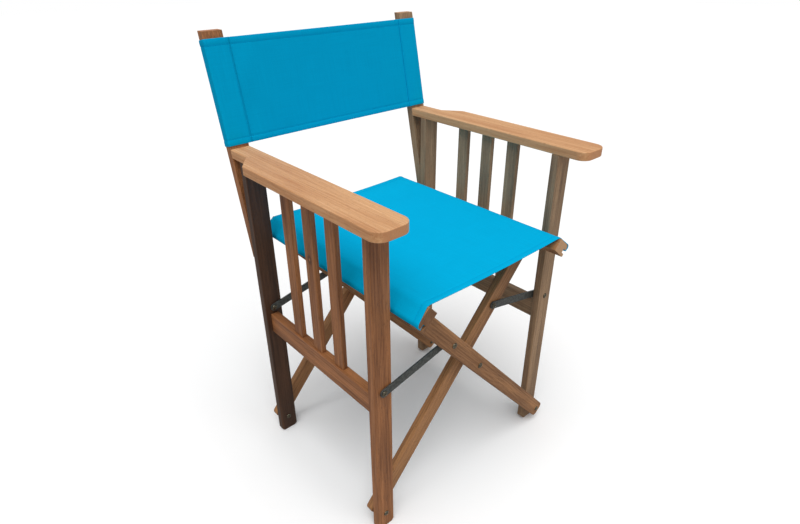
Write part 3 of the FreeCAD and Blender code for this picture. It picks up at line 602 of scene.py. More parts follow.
@dataclass(frozen=True)
class Metal:
    """A plated or painted steel finish.

    Args:
        name: the material's name.
        clean: colour of the plating.
        dull: colour where it has dulled.
        roughness: middle roughness.
        metallic: 1 for bare plating, less for paint.
        worn: colour of the worn edges.
    """

    name: str
    clean: Colour
    dull: Colour
    roughness: float
    metallic: float
    worn: Colour

    def build(self, groups: dict[str, bpy.types.NodeTree]) -> bpy.types.Material:
        """Make the material.

        Args:
            groups: the shared node groups by name.

        Returns:
            The material.
        """
        material, make, shader = new_material(self.name)
        coordinates = make.add("ShaderNodeTexCoord")
        patches = make.noise(coordinates.outputs["Object"], 220.0, 4.0, 0.6)
        specks = make.noise(coordinates.outputs["Object"], 1500.0, 2.0, 0.5)
        wear = make.add("ShaderNodeGroup", {"node_tree": groups["wear"]}, Radius=0.0008, Patchiness=300.0)
        body = make.mix(make.span(patches, 0.35, 0.65), self.clean, self.dull)
        make.give(shader, "Base Color", make.mix(make.math("MULTIPLY", wear.outputs["Mask"], 0.6), body, self.worn))
        make.give(shader, "Roughness", make.span(patches, 0.3, 0.7, self.roughness - 0.08, self.roughness + 0.1))
        make.bump(shader, specks, 0.15, 0.0002)
        shader.inputs["Metallic"].default_value = self.metallic
        return material


ARM_WOOD = Wood("armrest_wood", colour(232, 182, 132), colour(186, 126, 80), colour(134, 82, 48),
                colour(240, 196, 150), colour(196, 136, 92), spacing=0.006, seed=0.31, roughness=0.5)
LEFT_WOOD = Wood("left_frame_wood", colour(190, 126, 76), colour(104, 62, 34), colour(54, 32, 19),
                 colour(196, 148, 104), colour(190, 128, 88), seed=1.7)
KNOTTY_WOOD = replace(LEFT_WOOD, name="knotty_wood", seed=1.1)
# A darker wood, given to the left rear post alone.
DARKER_WOOD = Wood("stained_wood", colour(94, 62, 40), colour(50, 32, 21), colour(28, 18, 13),
                    colour(140, 100, 72), colour(96, 66, 46), seed=6.3)
RIGHT_WOOD = Wood("right_frame_wood", colour(186, 150, 114), colour(110, 85, 62), colour(68, 54, 42),
                  colour(200, 170, 136), colour(200, 150, 108), seed=2.9)
BAR_WOOD = Wood("bar_wood", colour(194, 139, 89), colour(114, 76, 46), colour(66, 44, 28),
                colour(204, 160, 114), colour(108, 74, 48), spacing=0.0055, seed=4.2)
PALE_BAR_WOOD = replace(BAR_WOOD, name="pale_bar_wood", end=colour(208, 166, 124), seed=7.7)
DOWEL_WOOD = Wood("dowel_wood", colour(205, 165, 120), colour(170, 128, 86), colour(110, 76, 48),
                  colour(215, 178, 136), colour(150, 110, 74), spacing=0.002, seed=5.5)
SEAT_CANVAS = Canvas("seat_canvas_cloth", colour(0, 177, 225), colour(0, 156, 204))
# The back has the seat's fabric, with darker base and deep colours that are painted shade: the back catches less
# light than the seat.
SHADED_BACK_CANVAS = Canvas("back_canvas_cloth", colour(0, 167, 214), colour(0, 146, 193))
BLUE_THREAD = Canvas("blue_thread", colour(0, 168, 216), colour(0, 140, 190), thread=0.0004)
LINK_STEEL = Metal("link_steel", colour(92, 96, 94), colour(70, 74, 72), 0.45, 0.5, colour(165, 170, 168))
ZINC = Metal("zinc_plate", colour(128, 122, 106), colour(92, 86, 72), 0.28, 1.0, colour(190, 186, 172))


# ----- Mesh helpers -----


def rounded_path(corners: Sequence[tuple[float, float, float]], step: float) -> list[tuple[float, float]]:
    """An open line through corners, each rounded to its own radius.

    Args:
        corners: across, up and radius of each corner; the ends' radii are ignored.
        step: longest distance between points on an arc.

    Returns:
        The points of the line.
    """
    points = [Vector(corner[:2]) for corner in corners]
    line = [tuple(points[0])]
    for index in range(1, len(points) - 1):
        here, radius = points[index], corners[index][2]
        into = (here - points[index - 1]).normalized()
        out = (points[index + 1] - here).normalized()
        turn = into.angle_signed(out)
        if radius <= 0 or abs(turn) < 1e-4:
            line.append(tuple(here))
            continue
        reach = radius * math.tan(abs(turn) / 2)
        start = here - into * reach
        inward = Vector((into.y, -into.x)) if turn > 0 else Vector((-into.y, into.x))
        middle = start + inward * radius
        spoke = start - middle
        count = max(2, math.ceil(abs(turn) * radius / step))
        for number in range(count + 1):
            angle = -turn * number / count
            cos, sin = math.cos(angle), math.sin(angle)
            turned = Vector((spoke.x * cos - spoke.y * sin, spoke.x * sin + spoke.y * cos))
            line.append(tuple(middle + turned))
    line.append(tuple(points[-1]))
    return line


def filled_in(line: Sequence[tuple[float, float]], step: float) -> list[tuple[float, float]]:
    """The same line with points added, so that none are further apart than a step."""
    out = [line[0]]
    for start, end in zip(line, line[1:]):
        count = max(1, math.ceil(math.dist(start, end) / step))
        out += [tuple(Vector(start).lerp(Vector(end), number / count)) for number in range(1, count + 1)]
    return out


def travelled(line: Sequence[Sequence[float]]) -> list[float]:
    """Distance along a line to each of its points."""
    total = [0.0]
    for start, end in zip(line, line[1:]):
        total.append(total[-1] + math.dist(start, end))
    return total


def ticks(length: float, hem: float, coarse: float) -> list[float]:
    """Positions along a sheet: coarse in the middle, finer across the hem and its seam at each end.

    Args:
        length: the sheet's length.
        hem: distance of the hem's seam from each end.
        coarse: spacing in the middle.

    Returns:
        Positions from 0 to length.
    """
    near = [*EDGE_TICKS, hem * 0.5, *(hem + offset for offset in SEAM_TICKS)]
    count = max(2, round((length - 2 * near[-1]) / coarse))
    middle = [near[-1] + (length - 2 * near[-1]) * number / count for number in range(1, count)]
    return near + middle + [length - value for value in reversed(near)]


def hem_height(place: float, length: float, hem: float) -> float:
    """How far a hem stands proud at a place along the sheet, in metres: a soft roll and a stitched groove."""
    inset = min(place, length - place)
    roll = HEM_ROLL * math.exp(-(((inset - hem * 0.45) / (hem * 0.38)) ** 4))
    groove = -SEAM_DEEP * math.exp(-(((inset - hem) / SEAM_WIDE) ** 2))
    return roll + groove


def sheet_mesh(name: str, grid: Sequence[Sequence[Vector]], across: Sequence[float], along: Sequence[float],
               thick: float) -> bpy.types.Object:
    """A sheet of cloth of even thickness on a grid of points.

    Args:
        name: the piece's name.
        grid: points by column, then by row.
        across: distance of each column, for the UV map.
        along: distance of each row, for the UV map.
        thick: the cloth's thickness, half of it on each side of the grid.

    Returns:
        The piece, a closed mesh.
    """
    mesh = bpy.data.meshes.new(name)
    rows = len(along)
    points = [point for column in grid for point in column]
    faces = [(i * rows + j, (i + 1) * rows + j, (i + 1) * rows + j + 1, i * rows + j + 1)
             for i in range(len(across) - 1) for j in range(rows - 1)]
    mesh.from_pydata(points, [], faces)
    uv = mesh.uv_layers.new(name="UVMap")
    for loop in mesh.loops:
        column, row = divmod(loop.vertex_index, rows)
        uv.data[loop.index].uv = (across[column], along[row])
    mesh.shade_smooth()
    piece = new_object(name, mesh)
    wall = piece.modifiers.new("Thickness", "SOLIDIFY")
    wall.thickness = thick
    wall.offset = 0.0
    wall.use_rim = True
    wall.use_even_offset = True
    return settled(piece)


def settled(piece: bpy.types.Object) -> bpy.types.Object:
    """Turn a piece's modifiers into plain mesh.

    Args:
        piece: the piece, with its modifiers.

    Returns:
        The same piece, with no modifiers and its own mesh.
    """
    bpy.context.view_layer.update()
    evaluated = piece.evaluated_get(bpy.context.evaluated_depsgraph_get())
    mesh = bpy.data.meshes.new_from_object(evaluated)
    mesh.name = piece.name
    piece.modifiers.clear()
    piece.data = mesh
    return piece


def finished_mesh(name: str, work: bmesh.types.BMesh) -> bpy.types.Mesh:
    """End a shape: face it outwards, smooth it and keep its sharp edges.

    Args:
        name: the mesh's name.
        work: the shape, which is freed.

    Returns:
        The mesh.
    """
    bmesh.ops.recalc_face_normals(work, faces=work.faces)
    mesh = bpy.data.meshes.new(name)
    work.to_mesh(mesh)
    work.free()
    mesh.shade_smooth()
    mesh.set_sharp_from_angle(angle=SHARP_ANGLE)
    return mesh


def turned_mesh(name: str, outline: Iterable[tuple[float, float]], count: int) -> bpy.types.Mesh:
    """A closed shape turned about Z.

    Args:
        name: the mesh's name.
        outline: radius and height, from the axis at the bottom to the axis at the top.
        count: points round it.

    Returns:
        The mesh.
    """
    work = bmesh.new()
    rings: list[list[bmesh.types.BMVert]] = []
    for radius, height in outline:
        if radius < 1e-7:
            rings.append([work.verts.new((0, 0, height))])
            continue
        turns = [2 * math.pi * number / count for number in range(count)]
        rings.append([work.verts.new((radius * math.cos(t), radius * math.sin(t), height)) for t in turns])
    for low, high in zip(rings, rings[1:]):
        for number in range(count):
            following = (number + 1) % count
            corners = [low[number % len(low)], low[following % len(low)], high[following % len(high)],
                       high[number % len(high)]]
            work.faces.new(list(dict.fromkeys(corners)))
    bmesh.ops.remove_doubles(work, verts=work.verts, dist=WELD)
    return finished_mesh(name, work)


# ----- Geometry node trees -----


def finish_geometry(make: Nodes, source: bpy.types.Node, sink: bpy.types.Node, instances: object) -> None:
    """End a tree: realise the instances and give them their finish."""
    real = make.add("GeometryNodeRealizeInstances", Geometry=instances)
    dressed = make.add("GeometryNodeSetMaterial", Geometry=real.outputs[0], Material=source.outputs["Finish"])
    make.give(sink, "Geometry", dressed.outputs[0])


def row_tree() -> bpy.types.NodeTree:
    """Copies of one piece in a row.

    Returns:
        The tree, with inputs Piece, Count, Start, Step, Turn and Finish.
    """
    tree, make, source, sink = new_tree("Geometry", "Row of pieces", {
        "Geometry": ("Geometry", None), "Piece": ("Object", None), "Count": ("Int", 2),
        "Start": ("Vector", None), "Step": ("Vector", None),
        "Turn": ("Rotation", None), "Finish": ("Material", None)}, {"Geometry": "Geometry"})
    line = make.add("GeometryNodeMeshLine", {"mode": "OFFSET"}, Count=source.outputs["Count"],
                    Offset=source.outputs["Step"], Start_Location=source.outputs["Start"])
    piece = make.add("GeometryNodeObjectInfo", Object=source.outputs["Piece"])
    placed = make.add("GeometryNodeInstanceOnPoints", Points=line.outputs[0], Instance=piece.outputs["Geometry"],
                      Rotation=source.outputs["Turn"])
    finish_geometry(make, source, sink, placed.outputs[0])
    return tree


def stitch_tree() -> bpy.types.NodeTree:
    """Stitches along the lines of a mesh.

    Returns:
        The tree, with inputs Pitch, Long, Thick, Seed and Finish.
    """
    tree, make, source, sink = new_tree("Geometry", "Stitches along a seam", {
        "Geometry": ("Geometry", None), "Pitch": ("Float", 0.0042), "Long": ("Float", 0.0030),
        "Thick": ("Float", 0.0009), "Seed": ("Int", 3),
        "Finish": ("Material", None)}, {"Geometry": "Geometry"})
    curve = make.add("GeometryNodeMeshToCurve", Mesh=source.outputs["Geometry"])
    even = make.add("GeometryNodeResampleCurve", {"mode": "LENGTH"}, Curve=curve.outputs[0],
                    Length=source.outputs["Pitch"])
    ball = make.add("GeometryNodeMeshUVSphere", Segments=6, Rings=4, Radius=0.5)
    tangent = make.add("GeometryNodeInputTangent")
    aim = make.add("FunctionNodeAlignRotationToVector", {"axis": "X"}, Vector=tangent.outputs[0])
    chance = make.add("FunctionNodeRandomValue", {"data_type": "FLOAT"}, Seed=source.outputs["Seed"])
    make.give(chance, 2, 0.88)
    make.give(chance, 3, 1.08)
    long = make.math("MULTIPLY", source.outputs["Long"], chance.outputs[1])
    size = make.add("ShaderNodeCombineXYZ", X=long, Y=source.outputs["Thick"], Z=source.outputs["Thick"])
    placed = make.add("GeometryNodeInstanceOnPoints", Points=even.outputs[0], Instance=ball.outputs[0],
                      Rotation=aim.outputs[0], Scale=size.outputs[0])
    finish_geometry(make, source, sink, placed.outputs[0])
    return tree


def run_tree(piece: bpy.types.Object, tree: bpy.types.NodeTree, values: dict[str, object]) -> bpy.types.Object:
    """Run a geometry node tree on a piece and keep the result as plain mesh.

    Args:
        piece: the object that the tree works on.
        tree: the tree.
        values: its inputs by name.

    Returns:
        The piece, with its new mesh.
    """
    modifier = piece.modifiers.new(tree.name, "NODES")
    modifier.node_group = tree
    names = {item.name: item.identifier for item in tree.interface.items_tree
             if item.item_type == "SOCKET" and item.in_out == "INPUT"}
    for name, value in values.items():
        modifier[names[name]] = value
    return settled(piece)


# ----- Timber -----


@dataclass
class Timber:
    """The wooden pieces and steel links, which keep their CAD shapes.

    Args:
        layout: the chair's places.
        groups: shared shader groups by name.
        made: the materials made so far.
        knot_height: height of the knot on the left middle slat.
    """

    layout: Layout
    groups: dict[str, bpy.types.NodeTree]
    made: dict[tuple[str, Grain], bpy.types.Material] = field(default_factory=dict)
    knot_height: float = 0.507

    def wood(self, finish: Wood, grain: Grain) -> bpy.types.Material:
        """The material for a finish and a grain, made once."""
        key = (finish.name, grain)
        if key not in self.made:
            self.made[key] = finish.build(grain, self.layout.bar_angle, self.groups)
        return self.made[key]

    def dress(self) -> None:
        """Give every wooden CAD node its finish and grain."""
        low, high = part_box("left_slat_middle")
        knot = (0.0, (low[1] + high[1]) / 2, self.knot_height)
        # The left middle slat gets a knot, and the left rear post the darker wood.
        own = {"left_slat_middle": replace(KNOTTY_WOOD, knot=knot), "left_rear_post": DARKER_WOOD}
        for side in Side:
            frame_wood = LEFT_WOOD if side is Side.LEFT else RIGHT_WOOD
            for part in ("front_post", "rear_post", "slat_front", "slat_middle", "slat_rear", "back_upright"):
                node = f"{side.word}_{part}"
                self.paint(node, self.wood(own.get(node, frame_wood), Grain.UP))
            self.paint(f"{side.word}_lower_side_rail", self.wood(frame_wood, Grain.DEEP))
            self.paint(f"{side.word}_armrest", self.wood(ARM_WOOD, Grain.DEEP))
            rail_wood = BAR_WOOD if side is Side.LEFT else PALE_BAR_WOOD
            self.paint(f"{side.word}_seat_rail", self.wood(rail_wood, Grain.DEEP))
            self.paint(f"{side.word}_hem_dowel", self.wood(DOWEL_WOOD, Grain.DEEP))
        for place in ("front", "rear"):
            self.paint(f"bar_a_{place}", self.wood(BAR_WOOD, Grain.BAR_A))
            self.paint(f"bar_b_{place}", self.wood(BAR_WOOD, Grain.BAR_B))

    def dress_links(self, steel: bpy.types.Material) -> None:
        """Give the links their finish."""
        for side in Side:
            for place in ("front", "rear"):
                self.paint(f"{side.word}_{place}_link", steel)

    @staticmethod
    def paint(node: str, material: bpy.types.Material) -> None:
        """Put a material on a CAD node.

        Args:
            node: the node's name.
            material: its new material.
        """
        piece = frame["nodes"][node]
        for place in piece.material_slots:
            place.material = material
        if not piece.material_slots:
            piece.data.materials.append(material)
        LOG.info("dressed %s", node)


# ----- Fasteners -----


@dataclass
class Fasteners:
    """Bolts, studs, nuts, washers and spacers, each standing for its CAD node.

    Args:
        layout: the chair's places.
        tree: the tree that makes a row of pieces.
        zinc: their finish.
        head_wide: width of a bolt's head.
        head_tall: height of a bolt's head.
        shank_wide: width of a shank.
        nut_wide: a nut's width across its flats.
        nut_tall: a nut's height.
        fine: points round a head or a ring.
        crown: share of a head's height that its rim has.
        socket: width of a head's socket, as a share of the head.
    """

    layout: Layout
    tree: bpy.types.NodeTree
    zinc: bpy.types.Material
    head_wide: float = 0.011
    head_tall: float = 0.0026
    shank_wide: float = 0.006
    nut_wide: float = 0.010
    nut_tall: float = 0.004
    fine: int = 32
    crown: float = 0.22
    socket: float = 0.36

    def template(self, name: str, parts: Sequence[bpy.types.Mesh]) -> bpy.types.Object:
        """An unseen object that holds one fastener's shape, ready to be copied.

        Args:
            name: the template's name.
            parts: the meshes that make it up.

        Returns:
            The template object.
        """
        work = bmesh.new()
        for part in parts:
            work.from_mesh(part)
        mesh = bpy.data.meshes.new(name)
        work.to_mesh(mesh)
        work.free()
        mesh.shade_smooth()
        mesh.set_sharp_from_angle(angle=SHARP_ANGLE)
        return bpy.data.objects.new(name, mesh)

    def head(self, wide: float, tall: float) -> bpy.types.Mesh:
        """A domed head standing on Z = 0, with a small round socket."""
        half = wide / 2
        steps = 7
        crown, rise = self.crown, 1 - self.crown
        turns = [math.pi / 2 * number / steps for number in range(steps, 1, -1)]
        dome = [(half * math.sin(turn), tall * (crown + rise * math.cos(turn))) for turn in turns]
        socket = half * self.socket
        top = tall * (crown + rise * math.cos(math.asin(self.socket)))
        outline = [(0.0, 0.0), (half * 0.96, 0.0), (half, tall * 0.06)] + dome
        outline = [point for point in outline if point[0] > socket or point[1] < tall * 0.1]
        outline += [(socket + 0.0002, top), (socket, top - 0.0002), (socket * 0.92, tall * 0.45),
                    (0.0, tall * 0.42)]
        return turned_mesh("head", outline, self.fine)

    def shank(self, long: float) -> bpy.types.Mesh:
        """A shank below Z = 0 with a rounded end and threads on its last stretch."""
        half = self.shank_wide / 2
        pitch = 0.001
        threads = 6
        outline = [(0.0, -long), (half * 0.7, -long), (half * 0.9, -long + 0.0004)]
        level = -long + 0.0005
        for _ in range(threads):
            outline += [(half, level + pitch * 0.3), (half * 0.88, level + pitch * 0.8)]
            level += pitch
        outline += [(half, level + pitch * 0.4), (half, 0.0), (0.0, 0.0)]
        return turned_mesh("shank", outline, 20)

    def hexagon(self) -> bpy.types.Mesh:
        """A nut on Z = 0: six sides with chamfered corners, and a bore."""
        work = bmesh.new()
        corner = self.nut_wide / math.sqrt(3)
        bore = self.shank_wide / 2 * 1.02
        rings = [(bore, 0.0, False), (corner * 0.90, 0.0, False), (corner, self.nut_tall * 0.13, True),
                 (corner, self.nut_tall * 0.87, True), (corner * 0.90, self.nut_tall, False),
                 (bore, self.nut_tall, False)]
        count = 24
        rows = []
        for radius, height, six in rings:
            row = []
            for number in range(count):
                turn = 2 * math.pi * number / count
                flat = math.cos(math.pi / 6) / math.cos((turn % (math.pi / 3)) - math.pi / 6)
                reach = radius * (flat if six else min(1.0, flat * corner / radius) if radius > bore else 1.0)
                row.append(work.verts.new((reach * math.cos(turn), reach * math.sin(turn), height)))
            rows.append(row)
        for low, high in zip(rows, rows[1:] + rows[:1]):
            for number in range(count):
                following = (number + 1) % count
                work.faces.new((low[number], low[following], high[following], high[number]))
        return finished_mesh("hexagon", work)

    def ring(self, wide: float, thick: float) -> bpy.types.Mesh:
        """A washer or spacer on Z = 0 with softened edges."""
        outer, bore, soft = wide / 2, self.shank_wide / 2 * 1.02, min(thick * 0.3, 0.0005)
        outline = [(bore, 0.0), (outer - soft, 0.0), (outer, soft), (outer, thick - soft), (outer - soft, thick),
                   (bore, thick), (bore, 0.0)]
        return turned_mesh("ring", outline, self.fine)

    def row(self, node: str, body: str, shape: bpy.types.Object, start: Vector, turn: Matrix,
            step: Vector, count: int = 2) -> bpy.types.Object:
        """Place copies of a fastener and let them stand for a CAD node.

        Args:
            node: the CAD node that they stand for.
            body: the body that they ride on.
            shape: the template.
            start: place of the first.
            turn: how they are turned from Z.
            step: from one to the next.
            count: how many.

        Returns:
            The new piece.
        """
        piece = new_object(node + "_made", bpy.data.meshes.new(node + "_made"))
        run_tree(piece, self.tree, {"Piece": shape, "Count": count, "Start": start, "Step": step,
                                    "Turn": turn.to_euler(), "Finish": self.zinc})
        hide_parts(node)
        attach(piece, body)
        LOG.info("made %s", piece.name)
        return piece

    def along_y(self, to_front: bool) -> Matrix:
        """The turn that points a fastener's head to the front or to the back."""
        return Matrix.Rotation(math.radians(90 if to_front else -90), 4, "X")

    def bolts(self, node: str, body: str, x: float, z: float, front: bool) -> None:
        """A bolt at the front and one at the rear, as long as the CAD's.

        Args:
            node: the CAD node.
            body: the body that it rides on.
            x: place of its axis.
            z: height of its axis.
            front: True if its head is at the front.
        """
        low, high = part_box(node)
        step = Vector((0, self.layout.rear_y - self.layout.front_y, 0))
        reach = high[1] - low[1] - step.y
        face = low[1] + self.head_tall if front else low[1] + reach - self.head_tall
        shape = self.template(node + "_shape", [self.head(self.head_wide, self.head_tall),
                                                self.shank(reach - self.head_tall)])
        self.row(node, body, shape, Vector((x, face, z)), self.along_y(front), step)

    def rings(self, node: str, body: str, x: float, z: float, nut: bool = False) -> None:
        """A ring or a nut at the front and one at the rear.

        Args:
            node: the CAD node.
            body: the body that it rides on.
            x: place of its axis.
            z: height of its axis.
            nut: True for a nut.
        """
        low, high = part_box(node)
        step = Vector((0, self.layout.rear_y - self.layout.front_y, 0))
        thick = high[1] - low[1] - step.y
        mesh = self.hexagon() if nut else self.ring(high[0] - low[0], thick)
        shape = self.template(node + "_shape", [mesh])
        self.row(node, body, shape, Vector((x, low[1], z)), self.along_y(False), step)

    def build(self) -> None:
        """Make every pivot's fasteners."""
        here = self.layout
        for side in Side:
            word, x = side.word, side.value * here.side_x
            front_head = side is Side.LEFT
            self.pivot(f"{word}_foot_pivot_bolts", f"{word}_foot_pivot_nuts", f"{word}_foot_spacers",
                       word + "_frame", x, here.foot_pivot)
            low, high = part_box(word + "_link_post_nuts")
            self.pivot(f"{word}_link_post_bolts", f"{word}_link_post_nuts", f"{word}_link_washers",
                       word + "_frame", x, (low[2] + high[2]) / 2)
            low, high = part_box(word + "_link_studs")
            stud_x, stud_z = (low[0] + high[0]) / 2, (low[2] + high[2]) / 2
            self.bolts(word + "_link_studs", "links_" + word, stud_x, stud_z, not front_head)
            self.bolts(word + "_bar_link_bolts", "bars_a" if front_head else "bars_b", stud_x, stud_z, front_head)
        self.pivot("crossing_pivot_bolts", "crossing_pivot_nuts", "crossing_spacers", "bars_b", 0.0, here.cross)

    def pivot(self, bolts: str, nuts: str, rings: str, body: str, x: float, z: float) -> None:
        """The bolts, nuts and rings of one pivot.

        Args:
            bolts: the bolts' CAD node.
            nuts: the nuts' CAD node.
            rings: the spacers' or washers' CAD node.
            body: the body that they ride on.
            x: place of its axis.
            z: height of its axis.
        """
        self.bolts(bolts, body, x, z, True)
        self.rings(nuts, body, x, z, nut=True)
        self.rings(rings, body, x, z)


@dataclass
class Screws:
    """Countersunk screws of the uprights and the seat rails: they keep their CAD shapes and get a finish.

    Args:
        zinc: their finish.
    """

    zinc: bpy.types.Material

    def dress(self) -> None:
        """Give the screws their finish."""
        for side in Side:
            Timber.paint(f"{side.word}_upright_screws", self.zinc)
            Timber.paint(f"{side.word}_seat_rail_screws", self.zinc)


# ----- Stitching -----


@dataclass
class Stitcher:
    """Makes lines of stitches.

    Args:
        tree: the stitch tree.
        thread: the thread's finish.
    """

    tree: bpy.types.NodeTree
    thread: bpy.types.Material

    def sew(self, name: str, lines: Sequence[Sequence[Vector]]) -> bpy.types.Object:
        """Stitches along several lines.

        Args:
            name: the piece's name.
            lines: the points of each line.

        Returns:
            The stitches, as one piece.
        """
        mesh = bpy.data.meshes.new(name)
        points = [point for line in lines for point in line]
        edges = []
        first = 0
        for line in lines:
            edges += [(first + number, first + number + 1) for number in range(len(line) - 1)]
            first += len(line)
        mesh.from_pydata(points, edges, [])
        return run_tree(new_object(name, mesh), self.tree, {"Finish": self.thread})


# ----- Seat -----


@dataclass
class Seat:
    """The canvas seat: over both rails, round their outer corners and into their grooves.

    Args:
        layout: the chair's places.
        canvas: the cloth's finish.
        stitcher: makes its stitches.
        thick: the cloth's thickness.
        gap: from a rail's face to the cloth's middle.
        inset: from a rail's end to the cloth's edge.
        inset_outer: the same at the outer edges, where the cloth reaches past the rail.
        hem: from the cloth's edge to its seam.
        sag: how far the seat's middle hangs down.
        coarse: longest distance between points.
        rail_low: from the crossing pivot to a rail's underside, along the bar.
        rail_thick: a rail's thickness along the bar.
        rail_inner: from the bar's middle to the rail's inner face.
        rail_outer: from the bar's middle to the rail's outer face.
        groove_deep: a groove's depth.
        groove_down: from a rail's top to its groove.
        groove_wide: a groove's width.
        round_outer: rounding of a rail's outer corner.
        round_inner: rounding of a rail's inner corner.
        bend_from: where the fold's bend starts, left and right; not used.
        edge_inner: where the outer edges start to reach past the rails.
        edge_outer: where they reach furthest.
    """

    layout: Layout
    canvas: bpy.types.Material
    stitcher: Stitcher
    thick: float = 0.0012
    gap: float = 0.0009
    inset: float = 0.004
    inset_outer: float = -0.0012
    hem: float = 0.011
    sag: float = 0.0045
    coarse: float = 0.006
    rail_low: float = 0.2495
    rail_thick: float = 0.024
    rail_inner: float = 0.0205
    rail_outer: float = 0.0145
    groove_deep: float = 0.009
    groove_down: float = 0.010
    groove_wide: float = 0.008
    round_outer: float = 0.006
    round_inner: float = 0.0022
    bend_from: float = 0.172
    edge_inner: float = 0.166
    edge_outer: float = 0.190

    def half_section(self) -> list[tuple[float, float]]:
        """Half of the seat's line across, in one bar's frame, from its hem to the rail's inner corner."""
        top = self.rail_low + self.rail_thick
        lip = top - self.groove_down - self.gap
        floor = self.rail_outer - self.groove_deep + self.gap
        outer = self.rail_outer + self.gap
        crown = top + self.gap
        corners = [
            (lip - self.groove_wide + 0.0026, floor, 0.0),
            (lip, floor, 0.0022),
            (lip, outer, 0.0012),
            (crown, outer, self.round_outer + self.gap),
            (crown, 0.0, 0.0),
            (crown, -self.rail_inner + self.round_inner, 0.0),
        ]
        return filled_in(rounded_path(corners, 0.0012), self.coarse)

    def section(self) -> tuple[list[Vector], list[float]]:
        """The whole line across the seat, hem to hem, and how much each point may sag.

        Returns:
            Points in the plane Y = 0, and for each a share from 0 to 1.
        """
        halves = []
        for side in Side:
            origin, along, outward = self.layout.bar_frame(side)
            halves.append([origin + along * u + outward * v for u, v in self.half_section()])
        left, right = halves
        start, end = left[-1], right[-1]
        level = start.z + 0.0012
        count = round((end.x - start.x) / self.coarse)
        middle, share = [], []
        for number in range(1, count):
            x = start.x + (end.x - start.x) * number / count
            across = abs(x) / end.x
            lift = 1 - math.exp(-(end.x - abs(x)) / 0.0025)
            middle.append(Vector((x, 0, start.z + (level - start.z) * lift)))
            share.append(1 - across ** 2)
        points = left + middle + right[::-1]
        return points, [0.0] * len(left) + share + [0.0] * len(right)

    def build(self) -> None:
        """Make the seat and its stitches."""
        rail_low, rail_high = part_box("left_seat_rail")
        front = rail_low[1] + self.inset
        length = rail_high[1] - rail_low[1] - 2 * self.inset
        line, share = self.section()
        across = travelled(line)
        along = ticks(length, self.hem, self.coarse)
        grid = [[self.point(line, share, column, front, place, length) for place in along]
                for column in range(len(line))]
        seat = sheet_mesh("seat_sling", grid, across, along, self.thick)
        seat.data.materials.append(self.canvas)
        seams = self.seams(line, share, front, length)
        stitches = self.stitcher.sew("seat_stitches", seams)
        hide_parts("seat_canvas")
        for piece in (seat, stitches):
            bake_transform(piece)
        LOG.info("seat: %.3f by %.3f m flat", across[-1], length)

    def point(self, line: Sequence[Vector], share: Sequence[float], column: int, front: float, place: float,
              length: float, proud: float = 0.0) -> Vector:
        """A point of the sagging seat.

        Args:
            line: the line across the seat.
            share: how much each point of it may sag.
            column: which point of the line.
            front: where the seat starts along Y.
            place: distance from there.
            length: the seat's length.
            proud: distance above the cloth's middle.

        Returns:
            The point.
        """
        before, after = line[max(column - 1, 0)], line[min(column + 1, len(line) - 1)]
        way = (after - before).normalized()
        out = Vector((-way.z, 0, way.x))
        middle = math.sin(math.pi * place / length) ** 0.6 if 0 < place < length else 0.0
        reach = self.overhang(line[column].x) * (1 - 2 * place / length)
        drop = self.sag * share[column] * (0.72 + 0.28 * middle)
        lift = hem_height(place, length, self.hem) + proud
        return line[column] + Vector((0, front + place - reach, -drop)) + out * lift

    def overhang(self, x: float) -> float:
        """How much nearer than the rails' middles the cloth comes to their ends: most at the outer edges."""
        inner, outer = self.edge_inner, self.edge_outer
        share = min(max((abs(x) - inner) / (outer - inner), 0.0), 1.0)
        return (self.inset - self.inset_outer) * share

    def seams(self, line: Sequence[Vector], share: Sequence[float], front: float,
              length: float) -> list[list[Vector]]:
        """Lines of stitching: along the front and rear hems, above and below."""
        proud = self.thick / 2 + STITCH_PROUD
        outer = [index for index, point in enumerate(line) if point.z > line[0].z + 0.004]
        open_span = [index for index in outer if abs(line[index].x) < self.edge_inner - 0.002]
        lines = []
        for place in (self.hem, length - self.hem):
            lines.append([self.point(line, share, column, front, place, length, proud) for column in outer])
            lines.append([self.point(line, share, column, front, place, length, -proud) for column in open_span])
        return lines


# ----- Back -----


